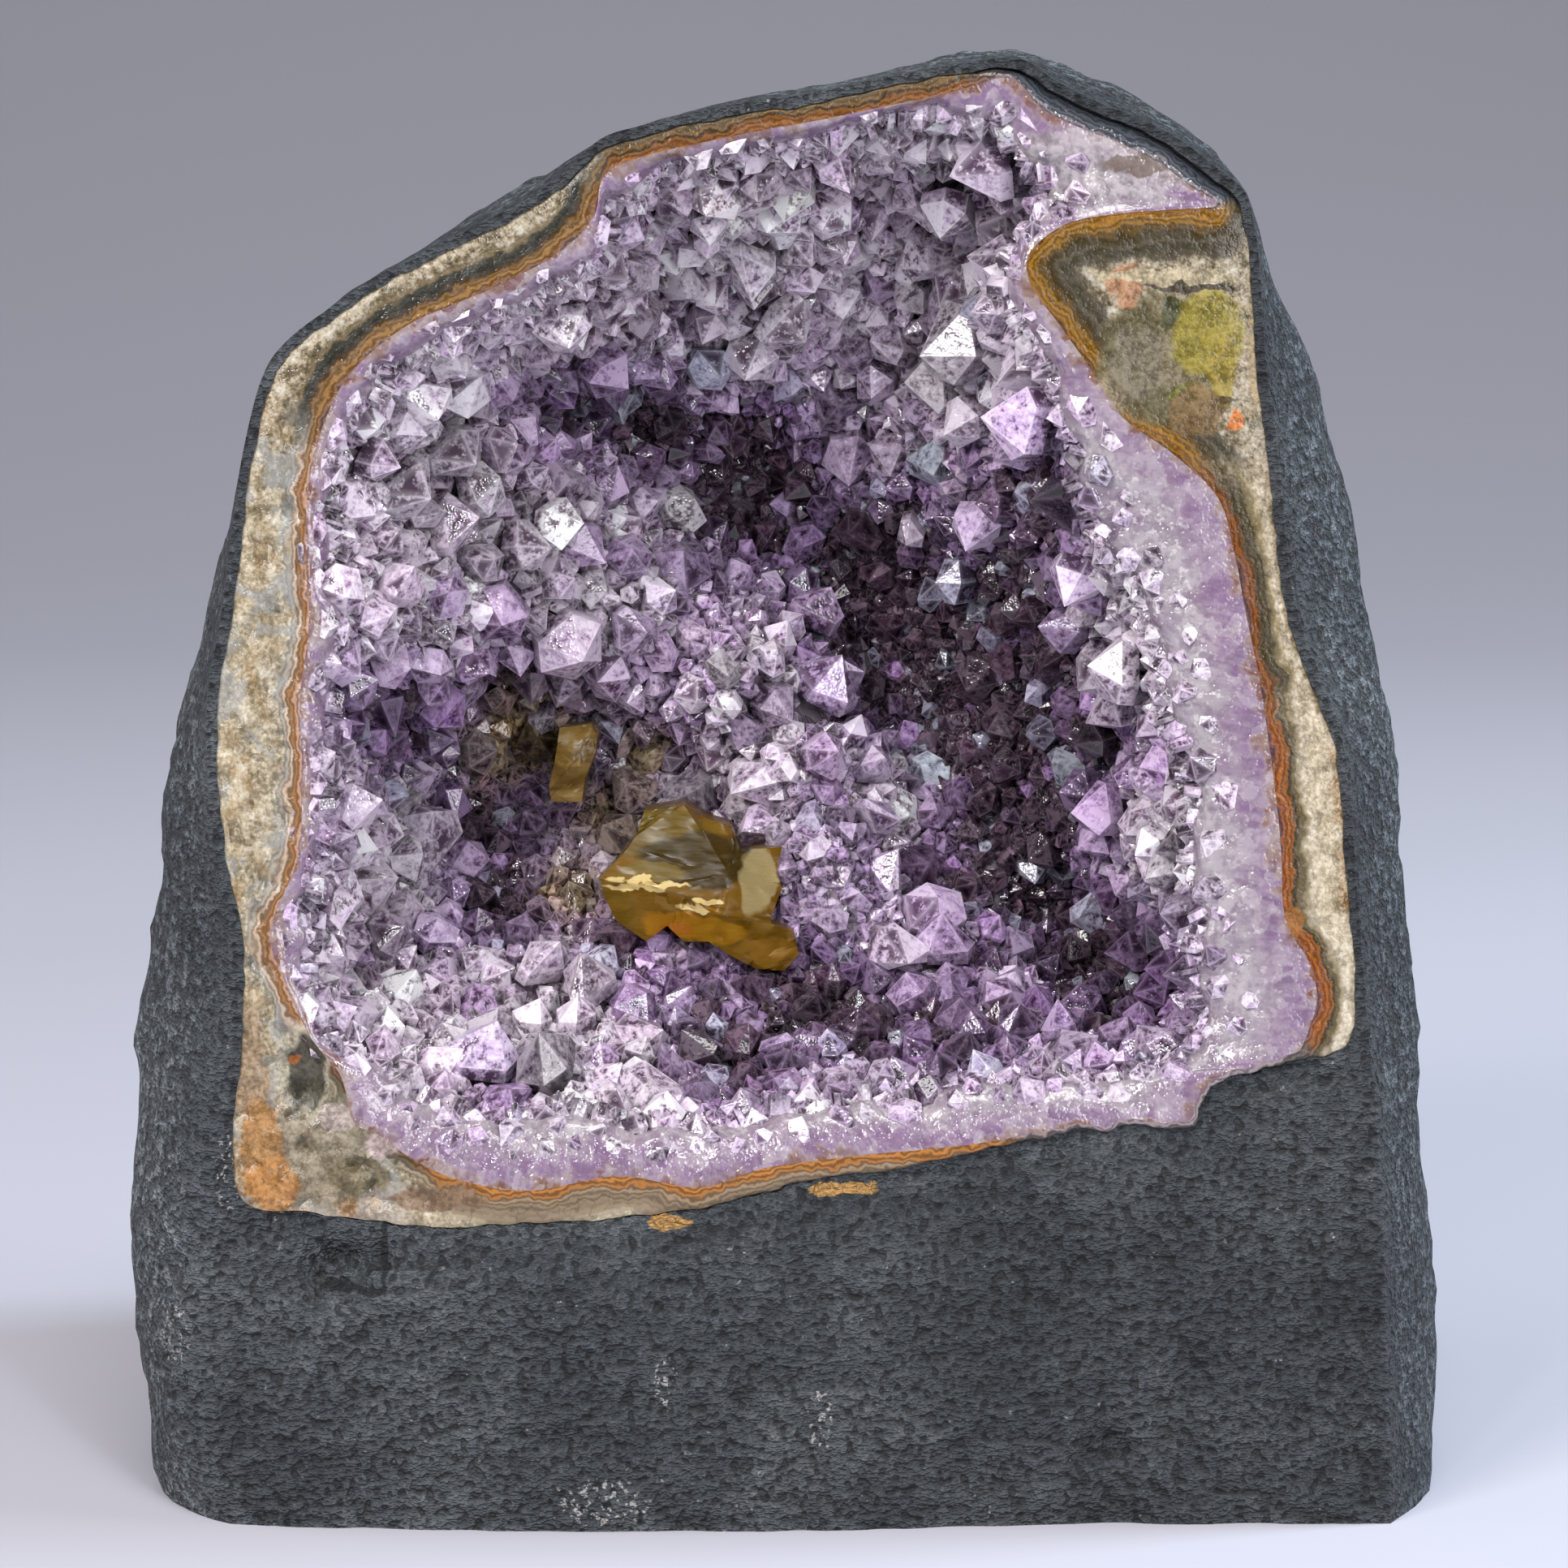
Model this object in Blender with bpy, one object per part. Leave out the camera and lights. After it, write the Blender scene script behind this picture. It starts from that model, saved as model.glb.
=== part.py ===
"""Amethyst cathedral geode, real size.

A nodule of dark basalt is sawn flat at the front and at the base, so that it stands. The sawn front is
polished: from the outside inwards it shows the basalt, a banded agate rind and a rolled lip of quartz,
and then the hollow, which is lined with pointed amethyst crystals around two blocks of honey calcite.

The front face is drawn flat, as x across, s up the face and d into the stone, in millimetres, and
face_point() leans it back and turns it into metres.
"""

import math
import random

import bmesh
import bpy
import numpy as np
from mathutils import Vector, noise
from mathutils.geometry import delaunay_2d_cdt

MM = 0.001
FACE_LEAN = math.radians(6)
GAP = 0.3  # left between neighbouring layers

# Layers, in mm
HOLLOW_DEPTH = 48.0  # from the polished face to the foot of the deepest crystals
CRUST_THICKNESS = 7.0  # quartz under the crystals, at the back of the hollow
RIND_THICKNESS = 2.6
LEAST_RIND = 1.5  # where the polished agate pinches out
LEAST_LIP = 2.6  # polished quartz between the rind and the first crystals
LIP_ROLL = 2.5  # how far the lip turns down into the hollow
LOBE_BEHIND = 0.45  # how much of the wall's lobes the layers behind the crystals follow
BASALT_EDGE = 1.0  # basalt left around the polished rind

# The nodule behind the face, in mm
WIDEST_DEPTH = 15.0
NODULE_DEPTH = 82.0
NODULE_CENTRE = (-0.5, 58.0)
NODULE_MEAN_RADIUS = 68.0
BACK_ROUNDNESS = 2.3
FRONT_BULGE = 3.0  # the rough face below the hollow swells forward by this much
FRONT_BULGE_AT = (-14.0, 10.0)
FRONT_BULGE_REACH = (44.0, 26.0)

# The weathered outside: how far apart and how high its lumps are, in mm
SWELLINGS = (30.0, 2.6)
LEDGES = (22.0, 1.1)
ROUGHNESS = (10.0, 0.8)
PITS = (14.0, -6.0)
PIT_SHARE = 0.3  # how strong the noise has to be to make a pit
LEDGE_PLACE = Vector((7, 3, 1))
PIT_PLACE = Vector((2, 9, 4))

# Crystals
CRYSTAL_SPACING = 4.3
CRYSTAL_SPREAD = (0.85, 1.0, 1.0, 1.3)  # of the spacing, so that some stand close and some apart
CRYSTAL_HEIGHTS = (0.35, 0.45, 0.55, 0.75)  # of the spacing
CRYSTAL_SWAY = 0.9
VALLEY_DEPTH = 0.7
FULL_HEIGHT_DEPTH = 9.0  # crystals nearer the face than this are shorter
LAST_CRYSTAL_SHARE = 0.94  # of the way from the deepest point to the rim

# Detail
SPOKES = 64
HOLLOW_RINGS = 8
FRONT_RINGS = 4
SIDE_DEPTHS = (0.7, 2.5, 6.0, 10.0, WIDEST_DEPTH)
BACK_SCALES = (0.985, 0.94, 0.87, 0.78, 0.66, 0.52, 0.37, 0.2)  # rings behind the widest one, against it
CRYSTAL_TRIES = 9000
SEED = 11

CAVITY_CENTRE = (-1.2, 83.5)

# Outer edge of the polished agate
POLISHED_EDGE = (
    (-51.5, 30.8), (-52.5, 38.0), (-51.5, 47.0), (-51.8, 56.0), (-53.6, 68.0), (-53.6, 78.0), (-52.1, 88.0),
    (-51.0, 98.0), (-48.4, 109.0), (-41.8, 115.4), (-31.1, 121.5), (-20.4, 127.6), (-16.9, 130.8), (-8.1, 133.3),
    (2.6, 135.0), (12.0, 137.0), (21.7, 138.3), (29.0, 134.3), (36.3, 131.1), (42.8, 126.0), (44.6, 111.0),
    (46.4, 96.0), (47.6, 87.0), (51.5, 76.6), (53.2, 64.0), (54.3, 51.0), (52.8, 45.5), (44.5, 43.4), (38.8, 38.3),
    (28.1, 37.7), (14.2, 34.7), (-1.2, 32.1), (-16.0, 29.4), (-33.0, 28.5), (-44.5, 29.0),
)

# Inner edge of the agate: it swells into a lump at the upper right and fills the lower left corner
RIND_INNER_EDGE = (
    (-40.6, 41.7), (-45.1, 46.3), (-48.6, 56.4), (-46.2, 63.4), (-45.7, 74.0), (-45.0, 85.0), (-45.2, 95.0),
    (-43.7, 105.0), (-40.3, 110.4), (-35.7, 114.1), (-23.4, 119.9), (-17.6, 124.9), (-14.0, 129.6), (-5.0, 131.9),
    (8.7, 134.6), (21.0, 136.6), (25.5, 132.5), (23.6, 122.0), (23.3, 117.5), (25.6, 114.4), (31.8, 105.6),
    (41.0, 98.0), (43.8, 86.6), (45.4, 78.9), (46.5, 71.2), (47.4, 60.0), (50.4, 52.0), (48.8, 46.0), (42.9, 43.0),
    (38.0, 39.0), (28.0, 38.6), (18.9, 36.9), (2.6, 34.8), (-8.2, 32.6), (-16.0, 33.4), (-24.4, 32.0),
    (-31.4, 33.1), (-38.0, 37.2),
)

# Inner edge of the polished quartz lip, where the crystals start
CRYSTAL_EDGE = (
    (-36.5, 43.0), (-43.0, 49.6), (-44.8, 56.6), (-43.4, 63.5), (-42.8, 72.0), (-41.6, 80.0), (-41.0, 88.0),
    (-41.4, 97.0), (-39.8, 104.0), (-36.0, 109.0), (-30.5, 112.3), (-21.5, 117.0), (-16.0, 124.0), (-10.0, 128.0),
    (-2.0, 129.6), (8.7, 131.5), (17.0, 132.8), (22.0, 129.5), (22.0, 122.0), (20.6, 117.5), (23.0, 112.6),
    (26.0, 106.0), (28.3, 98.0), (33.0, 89.0), (36.2, 80.0), (38.6, 69.0), (39.6, 58.0), (40.2, 49.0), (36.6, 43.6),
    (28.0, 42.4), (15.0, 41.0), (3.0, 39.6), (-8.0, 38.4), (-20.0, 39.0), (-30.0, 39.4),
)

# Edge of the sawn front plane. It runs just outside the first points of the polished edge, and these go on
# from there, round the basalt below the hollow. They run on below the base, which is sawn off afterwards.
POLISHED_POINTS_FOLLOWED = 26
FRONT_FOOT_EDGE = (
    (55.8, 45.0), (56.5, 38.6), (57.1, 27.0), (57.6, 13.0), (57.9, 0.0), (56.0, -7.0), (38.0, -13.0), (3.0, -17.0),
    (-30.0, -13.0), (-45.0, -7.0), (-51.5, 0.0), (-54.0, 9.0), (-55.2, 20.0), (-54.6, 27.5),
)

# The widest outline of the nodule, WIDEST_DEPTH behind the face
NODULE_EDGE = (
    (-62.7, 35.0), (-63.1, 22.0), (-62.4, 11.0), (-60.8, 2.5), (-56.5, -4.0), (-43.7, -12.0), (-21.0, -19.0),
    (3.0, -21.0), (27.0, -20.0), (50.0, -17.0), (61.5, -10.0), (63.2, 0.0), (63.0, 19.0), (62.4, 35.0),
    (61.1, 51.0), (59.2, 67.0), (57.4, 81.0), (54.9, 95.8), (51.7, 108.4), (47.7, 117.9), (44.6, 127.0),
    (40.5, 132.2), (34.2, 136.2), (28.0, 138.8), (21.6, 140.3), (14.0, 139.4), (2.0, 137.4), (-8.4, 135.1),
    (-17.8, 132.0), (-32.0, 124.0), (-44.0, 115.5), (-50.3, 107.5), (-54.0, 95.0), (-57.5, 79.0), (-60.8, 64.0),
    (-62.1, 48.0),
)

# Masses that stand forward (minus) and pockets (plus) in the wall of the hollow: x, s, radius, depth in mm
WALL_LOBES = (
    (-34.0, 97.0, 15.0, -15.0),
    (-38.0, 87.0, 9.0, -7.0),
    (-21.0, 90.0, 10.0, -8.0),
    (-11.0, 83.5, 9.0, -12.0),
    (-2.0, 77.0, 8.0, -11.0),
    (3.5, 67.0, 7.0, -11.0),
    (4.5, 57.0, 7.0, -9.0),
    (-9.0, 58.0, 10.0, -4.0),
    (-22.0, 46.0, 13.0, -8.0),
    (-4.0, 45.0, 9.0, -5.0),
    (-33.0, 70.0, 9.0, 7.0),
    (-3.0, 99.5, 6.0, 6.0),
    (-20.0, 108.0, 6.0, 5.0),
    (15.0, 82.0, 12.0, 4.0),
    (30.5, 53.0, 9.0, 8.0),
    (-3.0, 125.0, 7.0, -6.0),
    (-20.0, 115.0, 7.0, -6.0),
)

# Corners of the calcite blocks: x, s, d in mm
LARGE_CALCITE = (
    (-18.2, 60.6, 24.5), (-9.5, 58.0, 22.5), (1.5, 52.6, 23.5), (-14.0, 67.6, 28.5), (-7.4, 67.2, 29.5),
    (-0.6, 62.6, 28.0), (0.8, 57.4, 25.5), (-16.4, 53.6, 28.0), (-8.6, 51.6, 27.0), (1.9, 50.2, 26.5),
    (-16.5, 64.5, 35.0), (-2.0, 64.0, 36.0), (-15.0, 54.0, 35.5), (0.5, 51.5, 35.5),
)
SMALL_CALCITE = (
    (-21.0, 69.2, 29.5), (-20.4, 75.0, 30.5), (-17.6, 76.4, 31.0), (-17.0, 70.6, 30.0), (-19.0, 68.0, 30.5),
    (-22.0, 69.0, 44.5), (-21.4, 76.0, 44.5), (-16.6, 77.0, 44.5), (-16.0, 70.0, 44.5), (-19.0, 67.0, 44.5),
)

# Finishes: colour, roughness
BASALT = ((0.075, 0.082, 0.092), 0.85)
AGATE = ((0.42, 0.27, 0.13), 0.15)
AMETHYST = ((0.42, 0.34, 0.50), 0.18)
CALCITE = ((0.52, 0.30, 0.05), 0.2)


def face_point(x, s, d):
    """A point of the leaning face frame, in metres."""
    y = s * math.sin(FACE_LEAN) + d * math.cos(FACE_LEAN)
    z = s * math.cos(FACE_LEAN) - d * math.sin(FACE_LEAN)
    return Vector((x, y, z)) * MM


def catmull_rom(a, b, c, d, t):
    return 0.5 * (
        2 * b
        + (c - a) * t
        + (2 * a - 5 * b + 4 * c - d) * t**2
        + (3 * b - a - 3 * c + d) * t**3
    )


def smooth_outline(points, per_span=8):
    """The closed smooth curve through the points."""
    corners = [Vector(p) for p in points]
    count = len(corners)
    return [
        catmull_rom(*(corners[(i + k) % count] for k in (-1, 0, 1, 2)), step / per_span)
        for i in range(count)
        for step in range(per_span)
    ]


def radius_at(curve, angle):
    """How far the closed curve lies from the middle of the hollow in one direction: the nearest crossing."""
    middle = Vector(CAVITY_CENTRE)
    ray = Vector((math.cos(angle), math.sin(angle)))
    found = []
    for i, start in enumerate(curve):
        a = start - middle
        edge = curve[(i + 1) % len(curve)] - start
        cross = ray.x * edge.y - ray.y * edge.x
        if abs(cross) < 1e-9:
            continue
        along_ray = (a.x * edge.y - a.y * edge.x) / cross
        along_edge = (a.x * ray.y - a.y * ray.x) / cross
        if along_ray > 0 and -1e-6 <= along_edge <= 1 + 1e-6:
            found.append(along_ray)
    return min(found)


def spoke_angles(curve):
    """Directions from the middle of the hollow that space the points evenly along the curve."""
    lengths = [(curve[(i + 1) % len(curve)] - p).length for i, p in enumerate(curve)]
    total = sum(lengths)
    angles = []
    walked = 0.0
    for p, length in zip(curve, lengths):
        if walked / total * SPOKES >= len(angles):
            angles.append(math.atan2(p.y - CAVITY_CENTRE[1], p.x - CAVITY_CENTRE[0]))
        walked += length
    return angles[:SPOKES]


def front_outline():
    """The edge of the sawn front plane."""
    middle = Vector(CAVITY_CENTRE)
    followed = [Vector(p) for p in POLISHED_EDGE[:POLISHED_POINTS_FOLLOWED]]
    upper = [p + (p - middle).normalized() * BASALT_EDGE for p in followed]
    return smooth_outline([*upper, *FRONT_FOOT_EDGE])


class Spokes:
    """Every outline read along the same directions, so that neighbouring layers run side by side."""

    def __init__(self):
        polished = smooth_outline(POLISHED_EDGE)
        inner = smooth_outline(RIND_INNER_EDGE)
        crystal = smooth_outline(CRYSTAL_EDGE)
        front = front_outline()
        nodule = smooth_outline(NODULE_EDGE)
        self.angles = spoke_angles(polished)
        self.polished = [radius_at(polished, a) for a in self.angles]
        self.inner = [
            min(radius_at(inner, a), r - LEAST_RIND) for a, r in zip(self.angles, self.polished)
        ]
        self.crystal = [min(radius_at(crystal, a), r - LEAST_LIP) for a, r in zip(self.angles, self.inner)]
        self.front = [radius_at(front, a) for a in self.angles]
        self.nodule = [radius_at(nodule, a) for a in self.angles]

    def crystal_radius(self, angle):
        """The crystals' edge between two spokes."""
        turns = [(a - self.angles[0]) % math.tau for a in self.angles]
        order = sorted(range(SPOKES), key=lambda i: turns[i])
        wanted = (angle - self.angles[0]) % math.tau
        return float(
            np.interp(wanted, [turns[i] for i in order], [self.crystal[i] for i in order], period=math.tau)
        )


def around_middle(angle, radius):
    return CAVITY_CENTRE[0] + radius * math.cos(angle), CAVITY_CENTRE[1] + radius * math.sin(angle)


def smooth_step(low, high, value):
    t = min(max((value - low) / (high - low), 0.0), 1.0)
    return t * t * (3 - 2 * t)


def lobe_depth(x, s):
    """How much deeper the wall lies than a plain bowl."""
    return sum(
        amount * math.exp(-(((x - cx) ** 2 + (s - cs) ** 2) / radius**2) ** 2)
        for cx, cs, radius, amount in WALL_LOBES
    )


def bowl_point(angle, share, edge_radius, crystal_radius, floor_depth, lobes=LOBE_BEHIND, edge_depth=0.0):
    """A point of a layer of the hollow. share is 0 at the deepest point and 1 at the rim, on the map of a
    half ball that keeps shapes true. The lobes are read at the crystal layer, so all the layers follow them."""
    spread = 2 * share / (1 + share**2)
    below_edge = (floor_depth - edge_depth) * (1 - share**2) / (1 + share**2)
    lobe = lobe_depth(*around_middle(angle, crystal_radius * spread)) * smooth_step(1.0, 0.72, share) * lobes
    if lobe < 0:
        below_edge *= math.exp(lobe / below_edge)
    else:
        below_edge += lobe
    x, s = around_middle(angle, edge_radius * spread)
    return x, s, edge_depth + below_edge


def ring_shares():
    """The rings of a layer, from just off the deepest point to the rim, evenly spaced over the half ball."""
    return [math.tan(math.radians(45) * k / HOLLOW_RINGS) for k in range(1, HOLLOW_RINGS + 1)]


def layer_rings(spokes, edge_radii, floor_depth):
    """A layer of the hollow as a single deepest point and rings out to the rim."""
    rings = []
    for share in ring_shares():
        ring = [
            face_point(*bowl_point(angle, share, edge, crystal, floor_depth))
            for angle, edge, crystal in zip(spokes.angles, edge_radii, spokes.crystal)
        ]
        rings.append(ring)
    pole = face_point(*bowl_point(0.0, 0.0, 0.0, 0.0, floor_depth))
    return pole, rings


def new_object(name, shape, finish):
    bmesh.ops.recalc_face_normals(shape, faces=shape.faces)
    mesh = bpy.data.meshes.new(name)
    shape.to_mesh(mesh)
    shape.free()
    obj = bpy.data.objects.new(name, mesh)
    bpy.context.scene.collection.objects.link(obj)
    if finish:
        mesh.materials.append(finish)
    return obj


def material(name, look):
    colour, roughness = look
    made = bpy.data.materials.new(name)
    made.use_nodes = True
    shader = made.node_tree.nodes["Principled BSDF"]
    shader.inputs["Base Color"].default_value = (*colour, 1.0)
    shader.inputs["Roughness"].default_value = roughness
    shader.inputs["Metallic"].default_value = 0.0
    return made


def join_rings(shape, rings):
    """Triangles between rings of vertices with the same count. Every layer of the hollow starts from its
    deepest ring, so that neighbouring layers split their faces along the same diagonals."""
    for first, second in zip(rings, rings[1:]):
        for i in range(len(first)):
            k = (i + 1) % len(first)
            shape.faces.new((first[i], first[k], second[k]))
            shape.faces.new((first[i], second[k], second[i]))


def close_at(shape, pole, ring):
    for i, vertex in enumerate(ring):
        shape.faces.new((pole, vertex, ring[(i + 1) % len(ring)]))


def add_layer(shape, pole, rings):
    """Adds a closed end and the rings that run out from it, and returns the last ring's vertices."""
    made = [[shape.verts.new(p) for p in ring] for ring in rings]
    close_at(shape, shape.verts.new(pole), made[0])
    join_rings(shape, made)
    return made[-1]


def front_swell(x, s):
    """How far the rough front below the hollow swells forward, in mm."""
    across = (x - FRONT_BULGE_AT[0]) / FRONT_BULGE_REACH[0]
    up = (s - FRONT_BULGE_AT[1]) / FRONT_BULGE_REACH[1]
    return FRONT_BULGE * max(0.0, 1 - across**2 - up**2)


def front_rings(spokes):
    """From the polished edge out over the front plane."""
    rings = []
    for k in range(1, FRONT_RINGS + 1):
        ring = []
        for angle, inner, outer in zip(spokes.angles, spokes.polished, spokes.front):
            start = inner + GAP / 2
            x, s = around_middle(angle, start + (outer - start) * k / FRONT_RINGS)
            ring.append(face_point(x, s, -front_swell(x, s)))
        rings.append(ring)
    return rings


def side_point(angle, front_radius, nodule_radius, depth):
    """A point between the front edge and the widest outline. The lower left edge is worn round and the rest
    is crisp."""
    front_x, front_s = around_middle(angle, front_radius)
    wide_x, wide_s = around_middle(angle, nodule_radius)
    u = depth / WIDEST_DEPTH
    crisp = math.sin(u * math.pi / 2)
    worn = math.sqrt(1 - (1 - u) ** 2)
    wear = smooth_step(-40, -52, front_x) * smooth_step(60, 35, front_s)
    t = crisp + (worn - crisp) * wear
    swell = front_swell(front_x, front_s) * (1 - t)
    return front_x + (wide_x - front_x) * t, front_s + (wide_s - front_s) * t, depth - swell


def back_point(angle, nodule_radius, scale):
    """A point of the nodule's back, where it has drawn in to scale of its widest outline, growing rounder."""
    depth = WIDEST_DEPTH + (NODULE_DEPTH - WIDEST_DEPTH) * (1 - scale**2) ** (1 / BACK_ROUNDNESS)
    middle = Vector(NODULE_CENTRE)
    reach = Vector(around_middle(angle, nodule_radius)) - middle
    rounded = reach.lerp(reach.normalized() * NODULE_MEAN_RADIUS, 1 - scale)
    return *(middle + rounded * scale), depth


def weathered(point, amount=1.0):
    """The point moved out from the nodule's heart or in towards it: broad swellings, ledges and pits."""
    heart = face_point(*NODULE_CENTRE, NODULE_DEPTH / 2)
    place = point / MM
    swelling = noise.noise(place / SWELLINGS[0]) * SWELLINGS[1]
    ledge = (1 - abs(noise.noise(place / LEDGES[0] + LEDGE_PLACE))) ** 4 * LEDGES[1]
    rough = noise.noise(place / ROUGHNESS[0]) * ROUGHNESS[1]
    pit = max(0.0, noise.noise(place / PITS[0] + PIT_PLACE) - PIT_SHARE) * PITS[1]
    return point + (point - heart).normalized() * (swelling + ledge + rough + pit) * amount * MM


def side_rings(spokes):
    """The outside of the nodule from the front edge to the back, and its hindmost point."""
    rings = []
    for depth in SIDE_DEPTHS:
        settled = smooth_step(1.0, 14.0, depth)
        outlines = zip(spokes.angles, spokes.front, spokes.nodule)
        rings.append([weathered(face_point(*side_point(*o, depth)), settled) for o in outlines])
    for scale in BACK_SCALES:
        outline = zip(spokes.angles, spokes.nodule)
        rings.append([weathered(face_point(*back_point(*o, scale))) for o in outline])
    return rings, weathered(face_point(*NODULE_CENTRE, NODULE_DEPTH))


def saw_base(shape):
    """Saws the shape flat at the height of the surface that it stands on."""
    whole = shape.verts[:] + shape.edges[:] + shape.faces[:]
    cut = bmesh.ops.bisect_plane(
        shape, geom=whole, dist=1e-7, plane_co=(0, 0, 0), plane_no=(0, 0, 1), clear_inner=True
    )
    edges = [e for e in cut["geom_cut"] if isinstance(e, bmesh.types.BMEdge)]
    bmesh.ops.contextual_create(shape, geom=edges)


def make_basalt(spokes, finish):
    shape = bmesh.new()
    floor = HOLLOW_DEPTH + CRUST_THICKNESS + RIND_THICKNESS + GAP / 2
    seat_pole, seat = layer_rings(spokes, [r + GAP / 2 for r in spokes.polished], floor)
    sides, back = side_rings(spokes)
    last = add_layer(shape, seat_pole, seat + front_rings(spokes) + sides)
    close_at(shape, shape.verts.new(back), last)
    saw_base(shape)
    return new_object("basalt_shell", shape, finish)


def make_rind(spokes, finish):
    shape = bmesh.new()
    outer_floor = HOLLOW_DEPTH + CRUST_THICKNESS + RIND_THICKNESS - GAP / 2
    inner_floor = HOLLOW_DEPTH + CRUST_THICKNESS + GAP / 2
    outer = layer_rings(spokes, [r - GAP / 2 for r in spokes.polished], outer_floor)
    inner = layer_rings(spokes, [r + GAP / 2 for r in spokes.inner], inner_floor)
    join_rings(shape, [add_layer(shape, *inner), add_layer(shape, *outer)])
    return new_object("agate_rind", shape, finish)


def wall_place(spokes, u, v):
    """Across, up and into the stone: where the wall of the hollow lies at (u, v) on the unit disc."""
    angle = math.atan2(v, u)
    radius = spokes.crystal_radius(angle)
    return bowl_point(angle, math.hypot(u, v), radius, radius, HOLLOW_DEPTH, 1.0, LIP_ROLL)


def crystal_foot(spokes, u, v):
    return face_point(*wall_place(spokes, u, v))


def wall_normal(spokes, u, v):
    """Points from the wall into the hollow."""
    step = 0.01
    along_u = crystal_foot(spokes, u + step, v) - crystal_foot(spokes, u - step, v)
    along_v = crystal_foot(spokes, u, v + step) - crystal_foot(spokes, u, v - step)
    normal = along_v.cross(along_u).normalized()
    towards_viewer = -(face_point(0, 0, 1) - face_point(0, 0, 0))
    return normal if normal.dot(towards_viewer) > 0 else -normal


def crystal_sites(spokes, rng):
    """Places on the unit disc that stand at least a crystal's width apart on the wall itself."""
    places = []
    feet = np.zeros((0, 3))
    for _ in range(CRYSTAL_TRIES):
        u, v = rng.uniform(-1, 1), rng.uniform(-1, 1)
        share = math.hypot(u, v)
        if share > LAST_CRYSTAL_SHARE or rng.random() > 1 / (1 + share**2) ** 2:
            continue
        foot = np.array(crystal_foot(spokes, u, v))
        spacing = CRYSTAL_SPACING * rng.choice(CRYSTAL_SPREAD) * MM
        if len(feet) and ((feet - foot) ** 2).sum(axis=1).min() < spacing**2:
            continue
        places.append((u, v))
        feet = np.vstack((feet, foot))
    return places


def grow_crystals(shape, spokes, rim):
    """Fills the hollow inside the rim's vertices with pointed crystals, each a tip above the ring of low
    points where it meets its neighbours."""
    rng = random.Random(SEED)
    sites = crystal_sites(spokes, rng)
    rim_places = [(math.cos(a), math.sin(a)) for a in spokes.angles]
    disc = [Vector(p) for p in rim_places + sites]
    points, _, triangles, origins, _, _ = delaunay_2d_cdt(disc, [], [], 0, 1e-6)
    tips = []
    for place, origin in zip(points, origins):
        if origin[0] < SPOKES:
            tips.append(rim[origin[0]])
            continue
        foot = crystal_foot(spokes, *place)
        normal = wall_normal(spokes, *place)
        sway = Vector((rng.uniform(-1, 1), rng.uniform(-1, 1), rng.uniform(-1, 1))) * CRYSTAL_SWAY
        height = CRYSTAL_SPACING * rng.choice(CRYSTAL_HEIGHTS)
        height *= smooth_step(0.0, FULL_HEIGHT_DEPTH, wall_place(spokes, *place)[2])
        tips.append(shape.verts.new(foot + (normal * height + sway) * MM))
    beside = {}
    for triangle in triangles:
        centre = sum((points[i] for i in triangle), Vector((0, 0))) / 3
        low = crystal_foot(spokes, *centre) - wall_normal(spokes, *centre) * VALLEY_DEPTH * MM
        valley = shape.verts.new(low)
        for k in range(3):
            beside.setdefault(frozenset((triangle[k], triangle[k - 1])), []).append(valley)
    for pair, valleys in beside.items():
        a, b = sorted(pair)
        if len(valleys) == 1:
            shape.faces.new((tips[a], tips[b], valleys[0]))
            continue
        shape.faces.new((tips[a], valleys[0], valleys[1]))
        shape.faces.new((tips[b], valleys[1], valleys[0]))


def lip_rings(spokes):
    """The polished quartz lip, flat by the rind and rolling down towards the crystals."""
    rings = []
    for t in (0.0, 0.55, 0.85, 1.0):
        roll = 1 - math.sqrt(1 - t**2)
        ring = []
        for angle, outer, crystal in zip(spokes.angles, spokes.inner, spokes.crystal):
            start = outer - GAP / 2
            ring.append(face_point(*around_middle(angle, start + (crystal - start) * t), LIP_ROLL * roll))
        rings.append(ring)
    return rings


def make_crust(spokes, finish):
    shape = bmesh.new()
    floor = HOLLOW_DEPTH + CRUST_THICKNESS - GAP / 2
    back_pole, back = layer_rings(spokes, [r - GAP / 2 for r in spokes.inner], floor)
    rim = add_layer(shape, back_pole, back[:-1] + lip_rings(spokes))
    grow_crystals(shape, spokes, rim)
    return new_object("amethyst_crust", shape, finish)


def make_block(name, corners, finish, grow=0.0):
    """A calcite block: the faceted solid that spans its corners. grow pushes them out, in mm."""
    points = [face_point(*c) for c in corners]
    middle = sum(points, Vector()) / len(points)
    shape = bmesh.new()
    for p in points:
        shape.verts.new(p + (p - middle).normalized() * grow * MM)
    hull = bmesh.ops.convex_hull(shape, input=shape.verts)
    bmesh.ops.delete(shape, geom=hull["geom_interior"], context="VERTS")
    return new_object(name, shape, finish)


def seat_block(crust, name, corners, finish):
    """Sets a calcite block in a pocket of the crust that clears it by a little more than the gap."""
    pocket = make_block(f"{name}_pocket", corners, None, grow=2 * GAP)
    pocket.hide_render = True
    pocket.display_type = "WIRE"
    cut = crust.modifiers.new(f"{name} pocket", "BOOLEAN")
    cut.operation = "DIFFERENCE"
    cut.object = pocket
    return [make_block(name, corners, finish), pocket]


def centre_on_base(objects):
    """Puts the origin in the middle of the object's box, on the surface that it stands on."""
    corners = [v.co for obj in objects for v in obj.data.vertices]
    shift = Vector(
        [-(max(c[axis] for c in corners) + min(c[axis] for c in corners)) / 2 for axis in (0, 1)]
        + [-min(c.z for c in corners)]
    )
    for obj in objects:
        for vertex in obj.data.vertices:
            vertex.co += shift


def clear_scene():
    for obj in list(bpy.data.objects):
        bpy.data.objects.remove(obj)


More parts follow.
